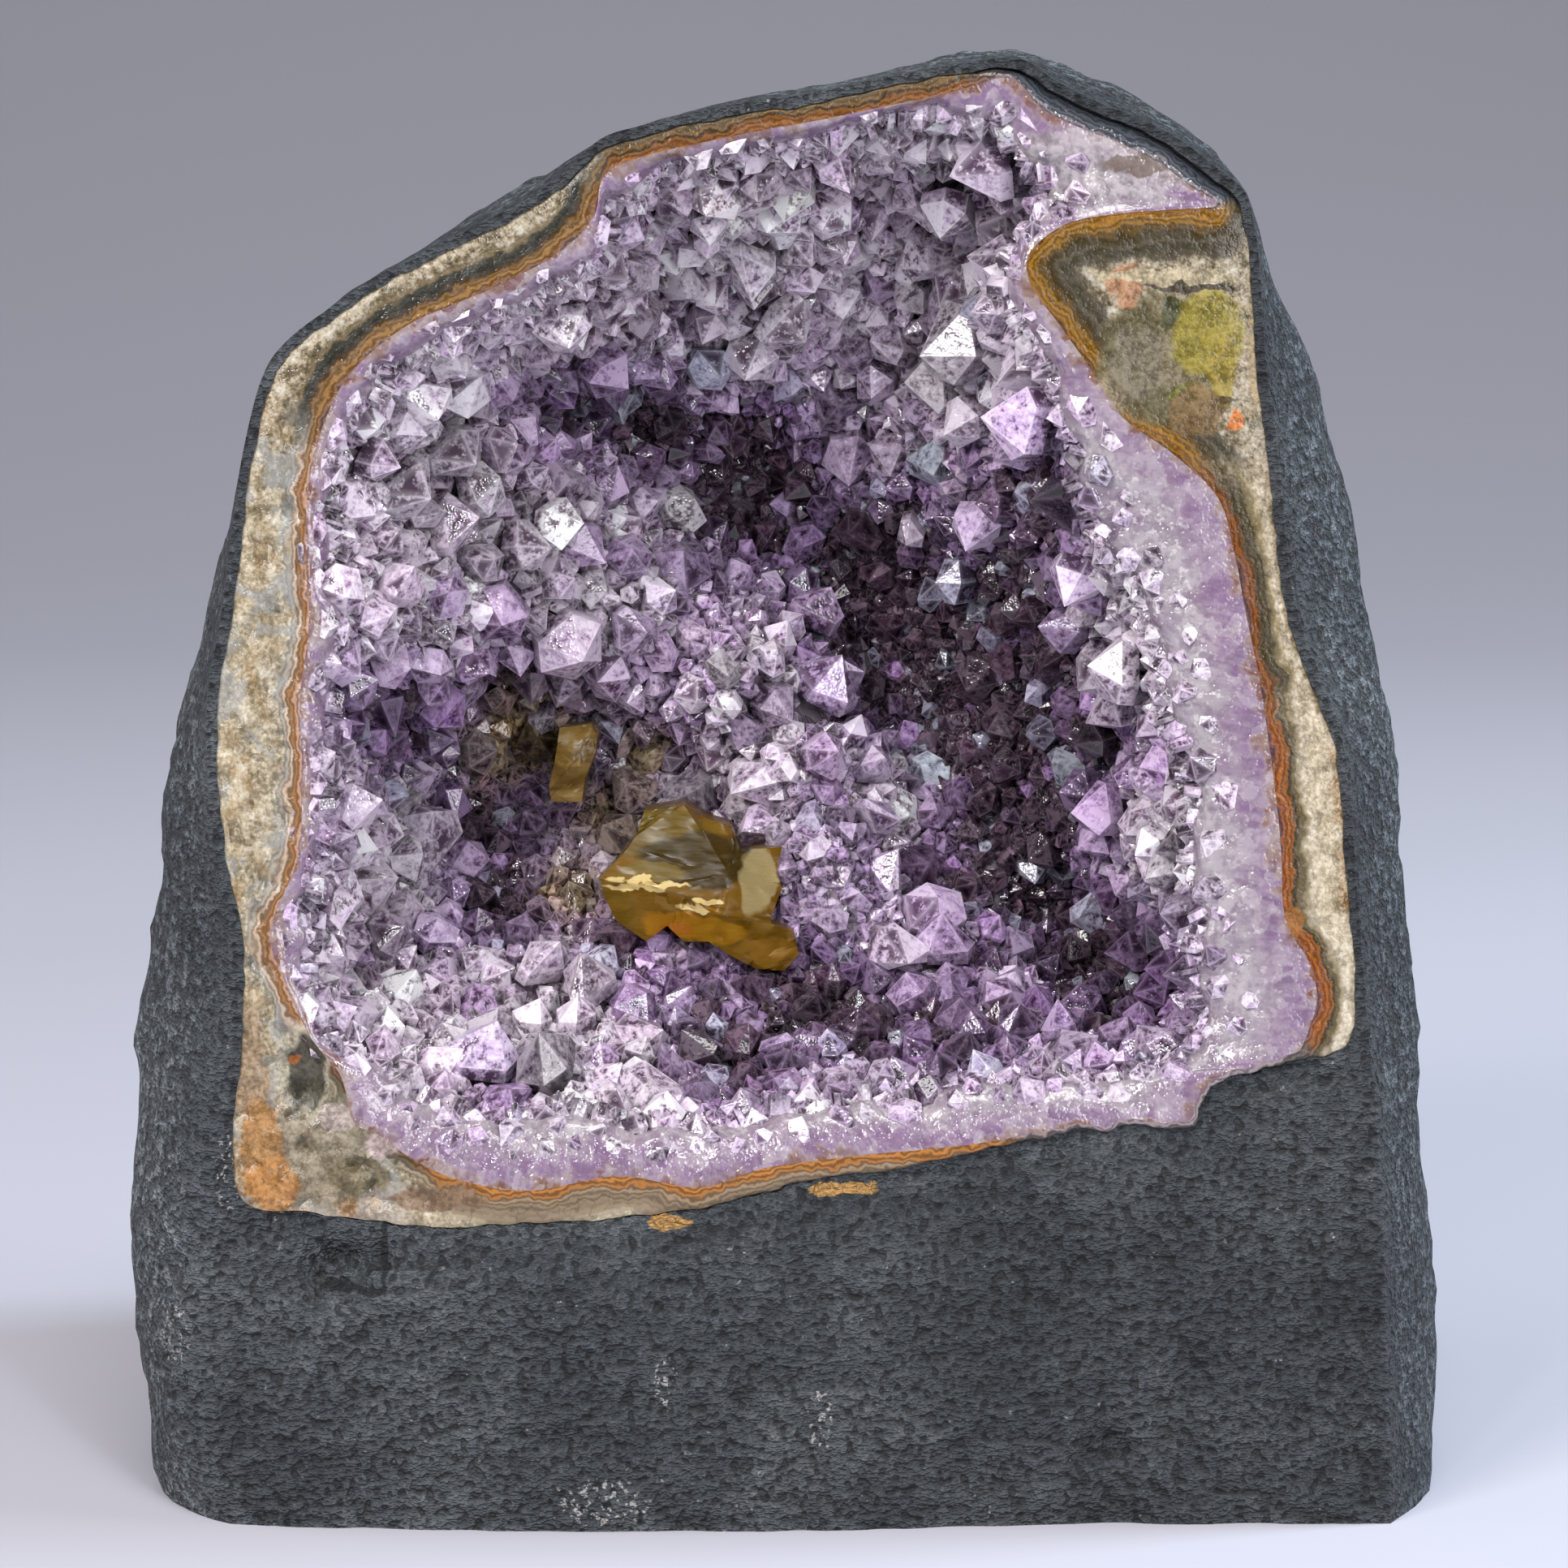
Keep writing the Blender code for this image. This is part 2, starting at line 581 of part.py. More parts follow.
def main():
    clear_scene()
    spokes = Spokes()
    calcite = material("honey calcite", CALCITE)
    basalt = make_basalt(spokes, material("dark basalt", BASALT))
    rind = make_rind(spokes, material("banded agate", AGATE))
    crust = make_crust(spokes, material("amethyst", AMETHYST))
    blocks = seat_block(crust, "calcite_large", LARGE_CALCITE, calcite)
    blocks += seat_block(crust, "calcite_small", SMALL_CALCITE, calcite)
    centre_on_base([basalt, rind, crust, *blocks])


main()
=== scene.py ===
import itertools
import math

import bmesh
import bpy
import numpy as np
from mathutils import Matrix, Vector, noise


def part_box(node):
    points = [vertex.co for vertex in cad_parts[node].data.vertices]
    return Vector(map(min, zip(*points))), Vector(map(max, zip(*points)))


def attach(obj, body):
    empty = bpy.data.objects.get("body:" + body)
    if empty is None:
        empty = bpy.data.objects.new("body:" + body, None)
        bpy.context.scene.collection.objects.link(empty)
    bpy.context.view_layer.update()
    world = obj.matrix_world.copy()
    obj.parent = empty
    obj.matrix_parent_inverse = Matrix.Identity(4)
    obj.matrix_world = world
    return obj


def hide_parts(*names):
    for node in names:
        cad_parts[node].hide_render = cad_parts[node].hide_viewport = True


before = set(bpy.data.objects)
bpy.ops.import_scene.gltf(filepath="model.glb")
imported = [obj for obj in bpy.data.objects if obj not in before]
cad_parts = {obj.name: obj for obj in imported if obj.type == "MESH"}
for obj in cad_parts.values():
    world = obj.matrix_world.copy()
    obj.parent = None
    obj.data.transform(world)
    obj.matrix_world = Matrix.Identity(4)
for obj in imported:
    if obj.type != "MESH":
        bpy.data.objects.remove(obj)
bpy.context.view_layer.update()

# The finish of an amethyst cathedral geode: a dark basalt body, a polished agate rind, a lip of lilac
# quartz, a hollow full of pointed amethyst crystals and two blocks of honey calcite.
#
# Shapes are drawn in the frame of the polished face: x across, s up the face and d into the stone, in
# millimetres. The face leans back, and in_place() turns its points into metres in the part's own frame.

MM = 0.001
FACE_LEAN = math.radians(6)

# Size of the hollow and its layers, in mm
CAVITY_CENTRE = (-1.2, 83.5)
HOLLOW_DEPTH = 48.0
LIP_ROLL = 2.5
CRUST_BACK = 3.0  # quartz modelled under the crystals
RIND_DEEP = 3.0
SEAT_DEPTH = 57.75
SEAT_EDGE = 0.6
LOBES_IN_SEAT = 0.45  # how far the basalt's seat follows the lobes of the wall

# The nodule behind the face, in mm
BASALT_EDGE = 1.0
WIDEST_DEPTH = 15.0
NODULE_DEPTH = 82.0
NODULE_CENTRE = (-0.5, 58.0)
NODULE_MEAN_RADIUS = 68.0
BACK_ROUNDNESS = 2.3
FRONT_BULGE = 3.0
FRONT_BULGE_AT = (-14.0, 10.0)
FRONT_BULGE_REACH = (44.0, 26.0)

# Relief made of noise: how far apart its lumps are and how high, in mm, and where in the noise it is read.
# The pits are where the noise rises above a limit.
SKIN_LUMPS = ((30.0, 1.0, (0, 0, 0)), (10.0, 0.7, (0, 0, 0)), (4.6, 0.18, (5, 1, 8)), (2.3, 0.35, (1, 6, 2)))
SKIN_LEDGES = (22.0, 0.7, (7, 3, 1))
SKIN_PITS = ((14.0, -2.2, (2, 9, 4)), (4.0, -1.4, (9, 9, 3)))
SKIN_PIT_LIMIT = 0.3
FRONT_WRINKLES = ((1.9, 0.42, (0, 0, 0)),)
WRINKLE_STRETCH = 2.4
FRONT_LUMPS = ((7.0, 0.5, (3, 3, 3)), (2.6, 0.2, (0, 0, 0)))
EDGE_CHIPS = ((1.7, 0.4, (2, 8, 3)), (4.0, 0.3, (7, 1, 6)))
LIP_RAGS = ((5.0, 1.5, (3, 5, 7)), (2.2, 0.9, (6, 2, 4)))
CRUST_LUMPS = ((3.4, 1.0, (4, 4, 4)), (1.7, 0.45, (2, 7, 5)))
RIND_PITS = ((1.6, 1.3, (8, 3, 1)),)
RIND_PIT_LIMIT = 0.1
RIND_LUMPS = ((3.0, 0.12, (0, 0, 0)),)

# Detail
AROUND = 480
FRONT_RINGS = 66
EDGE_DEPTHS = (0.3, 0.8, 1.6, 2.8, 4.2, 5.8, 7.4, 9.2, 11.0, 13.0, WIDEST_DEPTH)  # rings round the sawn edge
BACK_RINGS = 62
SEAT_RINGS = 8
BED_RINGS = 46
LIP_RINGS = 14
RIND_RINGS = 16

# Where the camera stands, as seen from the middle of the face
CAMERA_ELEVATION = math.radians(9)
CAMERA_DISTANCE = 500.0
CAMERA_AIM = (0.0, 70.8)
CAMERA_LENS = 121.0
CAMERA_TILT = CAMERA_ELEVATION - FACE_LEAN
CAMERA_S = CAMERA_AIM[1] + CAMERA_DISTANCE * math.sin(CAMERA_TILT)
CAMERA_BACK = CAMERA_DISTANCE * math.cos(CAMERA_TILT)

# Round the polished rim: outer edge of the agate, its inner edge, the first crystals, and the kind of agate
# that shows there. Each row is x and s of the three edges, in mm.
RIM = (
    (-51.5, 30.8, -41.0, 38.6, -35.8, 41.4, "corner"),
    (-52.5, 37.2, -42.2, 43.0, -39.0, 43.6, "corner"),
    (-51.8, 44.0, -45.1, 46.8, -43.3, 47.0, "left"),
    (-51.4, 50.4, -47.6, 52.4, -45.8, 52.5, "left"),
    (-51.5, 56.4, -48.8, 56.9, -47.0, 57.2, "left"),
    (-53.2, 65.1, -46.2, 63.8, -44.8, 63.7, "left"),
    (-53.7, 72.5, -45.7, 71.4, -44.3, 71.3, "left"),
    (-53.6, 79.5, -45.9, 78.8, -43.8, 78.6, "left"),
    (-52.1, 87.8, -45.0, 86.0, -42.6, 85.8, "left"),
    (-51.2, 95.1, -45.3, 93.6, -43.0, 93.2, "left"),
    (-50.2, 102.0, -44.8, 100.2, -42.9, 99.5, "left"),
    (-48.4, 108.9, -43.0, 106.2, -41.2, 105.1, "upper"),
    (-46.0, 112.3, -40.3, 110.4, -38.4, 109.3, "upper"),
    (-41.8, 115.4, -35.7, 114.1, -33.3, 112.8, "upper"),
    (-37.2, 118.4, -31.0, 116.2, -28.9, 114.9, "upper"),
    (-31.1, 121.5, -26.0, 118.4, -24.4, 117.0, "upper"),
    (-25.0, 124.5, -21.0, 121.2, -20.1, 119.4, "upper"),
    (-20.4, 127.6, -17.9, 124.5, -17.1, 122.7, "upper"),
    (-16.9, 130.8, -16.9, 128.4, -15.7, 126.6, "top"),
    (-12.7, 132.1, -12.7, 130.2, -11.4, 128.9, "top"),
    (-8.1, 133.3, -7.5, 131.4, -6.6, 130.2, "top"),
    (-2.8, 134.3, -2.2, 132.5, -1.5, 131.2, "top"),
    (2.6, 135.0, 3.0, 133.4, 3.3, 132.0, "top"),
    (10.2, 136.7, 9.8, 134.8, 9.6, 133.2, "top"),
    (16.4, 137.8, 16.2, 136.2, 15.9, 134.4, "top"),
    (21.7, 138.3, 21.3, 137.4, 20.0, 133.2, "tip"),
    (25.2, 136.2, 24.2, 134.6, 22.0, 131.6, "tip"),
    (29.0, 134.3, 28.0, 132.7, 23.3, 130.2, "tip"),
    (32.4, 133.0, 31.4, 131.4, 24.2, 129.1, "tip"),
    (36.3, 131.1, 35.3, 129.5, 24.7, 128.0, "tip"),
    (39.5, 128.7, 38.4, 127.2, 24.7, 127.1, "tip"),
    (42.5, 126.4, 41.0, 125.5, 24.4, 126.3, "tip"),
    (43.2, 124.8, 37.5, 125.1, 24.0, 125.6, "lump"),
    (43.5, 123.4, 31.7, 124.7, 23.5, 124.8, "lump"),
    (43.8, 121.8, 26.6, 123.7, 22.8, 123.6, "lump"),
    (44.0, 119.9, 23.2, 121.0, 21.8, 121.4, "lump"),
    (44.2, 117.0, 23.3, 118.0, 21.4, 118.2, "lump"),
    (44.4, 113.5, 25.9, 114.4, 23.3, 114.4, "lump"),
    (44.7, 109.5, 29.0, 110.0, 25.4, 109.8, "lump"),
    (45.2, 105.8, 32.0, 105.5, 26.8, 104.6, "lump"),
    (45.7, 102.2, 36.6, 102.2, 27.9, 99.8, "lump"),
    (46.1, 98.0, 41.0, 98.0, 29.4, 96.2, "shoulder"),
    (46.6, 93.0, 42.6, 92.8, 31.4, 92.6, "shoulder"),
    (47.3, 88.2, 43.7, 87.2, 33.9, 88.2, "shoulder"),
    (49.5, 81.2, 45.1, 80.5, 36.0, 82.6, "shoulder"),
    (51.5, 76.6, 45.8, 76.0, 37.1, 76.8, "right"),
    (52.7, 71.2, 46.5, 71.0, 38.2, 71.0, "right"),
    (53.2, 64.3, 47.2, 64.5, 39.1, 65.0, "right"),
    (53.8, 57.8, 47.6, 58.1, 39.6, 58.8, "right"),
    (54.3, 51.8, 49.8, 54.0, 39.9, 53.2, "right"),
    (54.0, 46.8, 50.7, 50.6, 40.2, 49.6, "right"),
    (51.5, 44.9, 49.9, 47.4, 39.6, 46.6, "right"),
    (49.0, 44.6, 48.7, 45.4, 38.2, 44.6, "foot"),
    (42.9, 42.9, 42.7, 43.4, 35.2, 43.1, "foot"),
    (39.9, 40.4, 39.6, 40.9, 31.8, 42.5, "foot"),
    (38.5, 38.1, 38.0, 38.7, 28.6, 42.3, "foot"),
    (33.5, 38.2, 33.3, 38.7, 24.8, 42.3, "foot"),
    (28.1, 37.7, 28.0, 38.2, 21.0, 42.0, "foot"),
    (23.5, 36.8, 23.4, 37.4, 17.6, 41.3, "foot"),
    (18.9, 35.9, 18.9, 36.6, 14.0, 40.6, "bottom"),
    (14.2, 34.7, 14.0, 36.0, 10.0, 40.2, "bottom"),
    (9.6, 34.0, 9.4, 35.6, 6.4, 39.9, "bottom"),
    (2.6, 33.1, 2.6, 34.8, 0.8, 39.3, "bottom"),
    (-1.2, 32.1, -2.2, 34.1, -3.6, 38.6, "bottom"),
    (-7.4, 30.5, -8.0, 32.3, -8.2, 38.1, "bottom"),
    (-15.9, 29.4, -15.9, 33.4, -15.4, 38.5, "bottom"),
    (-24.4, 28.9, -24.2, 32.0, -22.6, 38.8, "bottom"),
    (-32.9, 28.5, -31.2, 33.1, -28.4, 38.5, "bottom"),
    (-40.7, 29.3, -35.8, 35.3, -31.8, 38.9, "corner"),
    (-46.1, 30.0, -38.6, 37.4, -34.2, 40.0, "corner"),
)
AGATES = ("corner", "left", "upper", "top", "tip", "lump", "shoulder", "right", "foot", "bottom")

# Edge of the sawn front below the hollow, and the widest outline of the nodule
POLISHED_ROWS_FOLLOWED = 50
FRONT_FOOT_EDGE = (
    (55.8, 45.0), (56.5, 38.6), (57.1, 27.0), (57.6, 13.0), (57.9, 0.0), (56.0, -7.0), (38.0, -13.0),
    (3.0, -17.0), (-30.0, -13.0), (-45.0, -7.0), (-51.5, 0.0), (-54.0, 9.0), (-55.2, 20.0), (-54.6, 27.5),
)
NODULE_EDGE = (
    (-62.7, 35.0), (-63.1, 22.0), (-62.4, 11.0), (-60.8, 2.5), (-56.5, -4.0), (-43.7, -12.0),
    (-21.0, -19.0), (3.0, -21.0), (27.0, -20.0), (50.0, -17.0), (61.5, -10.0), (63.2, 0.0), (63.0, 19.0),
    (62.4, 35.0), (61.1, 51.0), (59.2, 67.0), (57.4, 81.0), (54.9, 95.8), (51.7, 108.4), (47.7, 117.9),
    (44.6, 127.0), (40.5, 132.2), (34.2, 136.2), (28.0, 138.8), (21.6, 140.3), (14.0, 139.4),
    (2.0, 137.4), (-8.4, 135.1), (-17.8, 132.0), (-32.0, 124.0), (-44.0, 115.5), (-50.3, 107.5),
    (-54.0, 95.0), (-57.5, 79.0), (-60.8, 64.0), (-62.1, 48.0),
)

# Masses that stand forward (minus) and pockets (plus) in the wall of the hollow: x, s, radius, depth
WALL_LOBES = (
    (-34.0, 97.0, 15.0, -15.0),
    (-38.0, 87.0, 9.0, -7.0),
    (-21.0, 90.0, 10.0, -8.0),
    (-11.0, 83.5, 9.0, -12.0),
    (-2.0, 77.0, 8.0, -11.0),
    (3.5, 67.0, 7.0, -11.0),
    (4.5, 57.0, 7.0, -9.0),
    (-9.0, 58.0, 10.0, -4.0),
    (-22.0, 46.0, 13.0, -8.0),
    (-4.0, 45.0, 9.0, -5.0),
    (-33.0, 70.0, 9.0, 7.0),
    (-3.0, 99.5, 6.0, 6.0),
    (-20.0, 108.0, 6.0, 5.0),
    (15.0, 82.0, 12.0, 4.0),
    (30.5, 53.0, 9.0, 8.0),
    (-3.0, 125.0, 7.0, -6.0),
    (-20.0, 115.0, 7.0, -6.0),
)

# Corners of the calcite blocks: x, s, d
LARGE_CALCITE = (
    (-18.2, 60.6, 24.5), (-9.5, 58.0, 22.5), (1.5, 52.6, 23.5), (-14.0, 67.6, 28.5), (-7.4, 67.2, 29.5),
    (-0.6, 62.6, 28.0), (0.8, 57.4, 25.5), (-16.4, 53.6, 28.0), (-8.6, 51.6, 27.0), (1.9, 50.2, 26.5),
    (-16.5, 64.5, 35.0), (-2.0, 64.0, 36.0), (-15.0, 54.0, 35.5), (0.5, 51.5, 35.5),
)


def face_to_part(x, s, d):
    """Metres in the part's axes, before the part is centred on its base."""
    x, s, d = (np.asarray(value, float) for value in (x, s, d))
    y = s * math.sin(FACE_LEAN) + d * math.cos(FACE_LEAN)
    z = s * math.cos(FACE_LEAN) - d * math.sin(FACE_LEAN)
    return np.stack(np.broadcast_arrays(x, y, z), axis=-1) * MM


def part_to_face(points):
    """x, s and d in mm of points in the part's axes, before it is centred."""
    x, y, z = np.moveaxis(points / MM, -1, 0)
    s = y * math.sin(FACE_LEAN) + z * math.cos(FACE_LEAN)
    d = y * math.cos(FACE_LEAN) - z * math.sin(FACE_LEAN)
    return x, s, d


def find_shift():
    """How far the part was moved to centre it, read from where the large calcite lies."""
    drawn = face_to_part(*np.array(LARGE_CALCITE).T).min(axis=0)
    return np.array(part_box("calcite_large")[0]) - drawn


SHIFT = find_shift()
INTO_STONE = (face_to_part(0, 0, 1) - face_to_part(0, 0, 0)) / MM


def in_place(x, s, d):
    return face_to_part(x, s, d) + SHIFT


def smooth_closed(rows, per_span=16):
    """The closed smooth curve through rows of numbers."""
    rows = np.asarray(rows, float)
    a, b, c, d = (np.roll(rows, shift, axis=0)[:, None, :] for shift in (1, 0, -1, -2))
    t = (np.arange(per_span) / per_span)[None, :, None]
    curve = b + 0.5 * t * (c - a + t * (2 * a - 5 * b + 4 * c - d + t * (3 * (b - c) + d - a)))
    return curve.reshape(-1, rows.shape[1])


def smooth_step(low, high, value):
    t = np.clip((np.asarray(value, float) - low) / (high - low), 0, 1)
    return t * t * (3 - 2 * t)


CHIPPED = 0.6  # how much the agate's outer edge is chipped
TORN_MORE = 1.2  # how much more it is at the foot
LIP_LEFT = 0.6  # the most of the lip's width that crystals take


class Rim:
    """The polished rim sampled evenly all the way round."""

    def __init__(self):
        kinds = np.array([[float(row[6] == name) for name in AGATES] for row in RIM])
        rows = np.hstack([np.array([row[:6] for row in RIM]), kinds])
        dense = smooth_closed(rows)
        middle = (dense[:, 0:2] + dense[:, 2:4]) / 2
        steps = np.linalg.norm(np.roll(middle, -1, axis=0) - middle, axis=1)
        walked = np.concatenate([[0], np.cumsum(steps)])
        wanted = np.arange(AROUND) * walked[-1] / AROUND
        closed = np.vstack([dense, dense[:1]])
        sampled = np.stack([np.interp(wanted, walked, column) for column in closed.T], axis=1)
        self.outer = sampled[:, 0:2]
        self.inner = sampled[:, 2:4]
        self.crystal = self.ragged_crystals(sampled[:, 4:6])
        self.kinds = np.clip(sampled[:, 6:], 0, 1)
        self.along = wanted
        self.chip_edges()

    def chip_edges(self):
        """Chips the outer edge of the agate, and tears both edges where it is thin, at the hollow's foot."""
        out = unit(self.outer - np.array(CAVITY_CENTRE))
        flat = np.column_stack([self.outer, np.zeros(AROUND)])
        chips = relief(flat, EDGE_CHIPS)
        torn = self.kinds[:, AGATES.index("foot")]
        self.outer += out * (chips * (CHIPPED + TORN_MORE * torn))[:, None]
        self.inner += out * (chips * (CHIPPED + TORN_MORE) * torn)[:, None]

    def ragged_crystals(self, edge):
        """The edge of the crystals moved in and out, where the lip is wide enough."""
        outwards = self.inner - edge
        width = np.linalg.norm(outwards, axis=1)
        flat = np.column_stack([edge, np.zeros(len(edge))])
        move = np.minimum(relief(flat, LIP_RAGS), width * LIP_LEFT)
        return edge + outwards / width[:, None] * move[:, None]


def edge_radius(edge, angle):
    """How far an edge of the rim lies from the middle of the hollow, read between its points."""
    offset = edge - np.array(CAVITY_CENTRE)
    angles = np.arctan2(offset[:, 1], offset[:, 0])
    order = np.argsort(angles)
    return np.interp(angle, angles[order], np.linalg.norm(offset, axis=1)[order], period=math.tau)


def radius_at(curve, angles):
    """How far a closed curve lies from the middle of the hollow in each direction."""
    a = curve - np.array(CAVITY_CENTRE)
    edge = np.roll(a, -1, axis=0) - a
    ray = np.stack([np.cos(angles), np.sin(angles)], axis=1)[:, None, :]
    cross = ray[..., 0] * edge[:, 1] - ray[..., 1] * edge[:, 0]
    cross[np.abs(cross) < 1e-9] = 1e-9
    along_ray = (a[:, 0] * edge[:, 1] - a[:, 1] * edge[:, 0]) / cross
    along_edge = (a[:, 0] * ray[..., 1] - a[:, 1] * ray[..., 0]) / cross
    hit = (along_ray > 0) & (along_edge > -1e-6) & (along_edge < 1 + 1e-6)
    return np.where(hit, along_ray, np.inf).min(axis=1)


def lobe_depth(x, s):
    return sum(
        amount * np.exp(-(((x - cx) ** 2 + (s - cs) ** 2) / radius**2) ** 2)
        for cx, cs, radius, amount in WALL_LOBES
    )


def bowl(offset, share, floor_depth, lobes, edge_depth):
    """Points of a layer of the hollow. offset runs from the middle to the crystals' edge, and share is 0 at
    the deepest point and 1 at the rim."""
    spread = 2 * share / (1 + share**2)
    below_edge = np.maximum((floor_depth - edge_depth) * (1 - share**2) / (1 + share**2), 1e-6)
    x = CAVITY_CENTRE[0] + offset[..., 0] * spread
    s = CAVITY_CENTRE[1] + offset[..., 1] * spread
    lobe = lobe_depth(x, s) * smooth_step(1.0, 0.72, share) * lobes
    forward = below_edge * np.exp(np.minimum(lobe, 0) / below_edge)
    return x, s, edge_depth + np.where(lobe < 0, forward, below_edge + lobe)


def wall(rim, u, v):
    """Where the wall of the hollow lies at (u, v) on the unit disc, in the face frame."""
    angle = np.arctan2(v, u)
    radius = edge_radius(rim.crystal, angle)
    offset = np.stack([np.cos(angle) * radius, np.sin(angle) * radius], axis=-1)
    return bowl(offset, np.hypot(u, v), HOLLOW_DEPTH, 1.0, LIP_ROLL)


def seen_on_face(x, s, d):
    """Where the camera sees a point against the plane of the face, in mm."""
    nearer = CAMERA_BACK / (CAMERA_BACK + d)
    return x * nearer, CAMERA_S + (s - CAMERA_S) * nearer


def behind_view(x, s, d):
    """The place at depth d that the camera sees at (x, s) on the face."""
    further = (CAMERA_BACK + d) / CAMERA_BACK
    return x * further, CAMERA_S + (s - CAMERA_S) * further, d


def noise_at(points, size, offset=(0, 0, 0)):
    """Smooth noise between about -1 and 1 at points in mm."""
    scaled = np.asarray(points) / size + np.array(offset)
    return np.array([noise.noise(p) for p in scaled.reshape(-1, 3).tolist()]).reshape(scaled.shape[:-1])


def relief(points, kinds):
    """The sum of several kinds of noise, each given by its size, its height and its place."""
    return sum(noise_at(points, size, place) * height for size, height, place in kinds)


def pitting(points, kinds, limit):
    """The same, for what rises above a limit in each kind of noise."""
    return sum(
        np.maximum(0.0, noise_at(points, size, place) - limit) * height for size, height, place in kinds
    )


def unit(rows):
    return rows / np.linalg.norm(rows, axis=-1, keepdims=True)


def bowl_shares(count):
    """The shares at which rings of the bowl lie evenly, from the deepest ring to the rim."""
    return [math.tan(math.radians(45) * k / count) for k in range(1, count + 1)]


def new_object(name, data):
    made = bpy.data.objects.new(name, data)
    bpy.context.scene.collection.objects.link(made)
    return made


def select_only(obj):
    bpy.ops.object.select_all(action="DESELECT")
    obj.select_set(True)
    bpy.context.view_layer.objects.active = obj


def loft(name, rings, first_pole=None, last_pole=None, loop=False):
    """A mesh object from rings of points with the same count, closed at its poles or back on itself."""
    rings = np.asarray(rings)
    count, around = rings.shape[:2]
    points = [rings.reshape(-1, 3)]
    index = np.arange(count * around).reshape(count, around)
    rows = [(index[k], index[k + 1]) for k in range(count - 1)]
    if loop:
        rows.append((index[-1], index[0]))
    faces = []
    for first, second in rows:
        after_first, after_second = np.roll(first, -1), np.roll(second, -1)
        faces += np.stack([first, after_first, after_second, second], axis=1).tolist()
    for pole, ring in ((first_pole, index[0]), (last_pole, index[-1])):
        if pole is None:
            continue
        tip = sum(len(p) for p in points)
        points.append(np.asarray(pole).reshape(1, 3))
        faces += [[tip, a, b] for a, b in zip(ring.tolist(), np.roll(ring, -1).tolist())]
    mesh = bpy.data.meshes.new(name)
    mesh.from_pydata(np.vstack(points).tolist(), [], faces)
    return new_object(name, mesh)


def outwards(obj):
    shape = bmesh.new()
    shape.from_mesh(obj.data)
    bmesh.ops.recalc_face_normals(shape, faces=shape.faces)
    shape.to_mesh(obj.data)
    shape.free()


def give_hollowness(obj, rounds=8):
    """Marks how far each vertex lies below (plus) or above (minus) its smoothed surroundings, in mm, which
    the basalt's material turns into painted shade in hollows and painted light on rises.
    """
    shape = bmesh.new()
    shape.from_mesh(obj.data)
    shape.normal_update()
    before = np.array([vertex.co[:] for vertex in shape.verts])
    normals = np.array([vertex.normal[:] for vertex in shape.verts])
    every_axis = {"use_axis_x": True, "use_axis_y": True, "use_axis_z": True}
    for _ in range(rounds):
        bmesh.ops.smooth_vert(shape, verts=shape.verts, factor=0.5, **every_axis)
    after = np.array([vertex.co[:] for vertex in shape.verts])
    shape.free()
    give_attribute(obj, "hollowness", ((after - before) * normals).sum(axis=1) / MM)


def smooth(obj, degrees):
    select_only(obj)
    bpy.ops.object.shade_smooth_by_angle(angle=math.radians(degrees))


def give_attribute(obj, name, values, domain="POINT"):
    """A number for each vertex or face, which a material reads by name."""
    made = obj.data.attributes.new(name, "FLOAT", domain)
    made.data.foreach_set("value", np.asarray(values, np.float32).ravel())


def give_colours(obj, name, values, domain="POINT"):
    """Three numbers for each vertex or corner of a face, which a material reads as a colour."""
    made = obj.data.attributes.new(name, "FLOAT_COLOR", domain)
    values = np.asarray(values, np.float32).reshape(-1, 3)
    made.data.foreach_set("color", np.column_stack([values, np.ones(len(values), np.float32)]).ravel())


def finish_piece(obj, slot, material, *nodes):
    obj.data.materials.clear()
    obj.data.materials.append(material)
    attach(obj, "root")
    if nodes:
        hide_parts(*nodes)


# Materials


def srgb(red, green, blue):
    """A colour as a screen shows it, 0 to 255, as the linear colour that a material takes."""
    linear = [((c / 255 + 0.055) / 1.055) ** 2.4 for c in (red, green, blue)]
    return (*linear, 1.0)


def add(tree, kind, values=None, **settings):
    """A node with its settings, and its inputs given as values or as sockets to link."""
    made = tree.nodes.new(kind)
    for key, value in settings.items():
        setattr(made, key, value)
    for key, value in (values or {}).items():
        socket = made.inputs[key]
        if isinstance(value, bpy.types.NodeSocket):
            tree.links.new(value, socket)
        else:
            socket.default_value = value
    return made


def mixed(tree, factor, first, second, blend="MIX"):
    made = add(tree, "ShaderNodeMix", {0: factor, 6: first, 7: second}, data_type="RGBA", blend_type=blend)
    return made.outputs[2]


def maths(tree, operation, *values, clamp=False):
    inputs = dict(enumerate(values))
    return add(tree, "ShaderNodeMath", inputs, operation=operation, use_clamp=clamp).outputs[0]


def times(tree, first, second):
    return maths(tree, "MULTIPLY", first, second)


def plus(tree, first, second):
    return maths(tree, "ADD", first, second)


def vectors(tree, operation, inputs):
    return add(tree, "ShaderNodeVectorMath", inputs, operation=operation).outputs[0]


def shaded(tree, colour, value):
    """The colour multiplied by a value."""
    grey = add(tree, "ShaderNodeCombineColor", {0: value, 1: value, 2: value}).outputs[0]
    return mixed(tree, 1.0, colour, grey, "MULTIPLY")


def ranged(tree, value, low, high, to_low=0.0, to_high=1.0):
    """The value moved from one range to another, held at its ends."""
    inputs = {"Value": value, "From Min": low, "From Max": high, "To Min": to_low, "To Max": to_high}
    return add(tree, "ShaderNodeMapRange", inputs, clamp=True).outputs[0]


def ramp(tree, factor, stops):
    """A colour for each value, from stops that pair a value with a screen colour."""
    made = add(tree, "ShaderNodeValToRGB", {0: factor})
    elements = made.color_ramp.elements
    while len(elements) < len(stops):
        elements.new(1.0)
    for element, (place, colour) in zip(elements, stops):
        element.position = place
        element.color = srgb(*colour)
    return made.outputs[0]


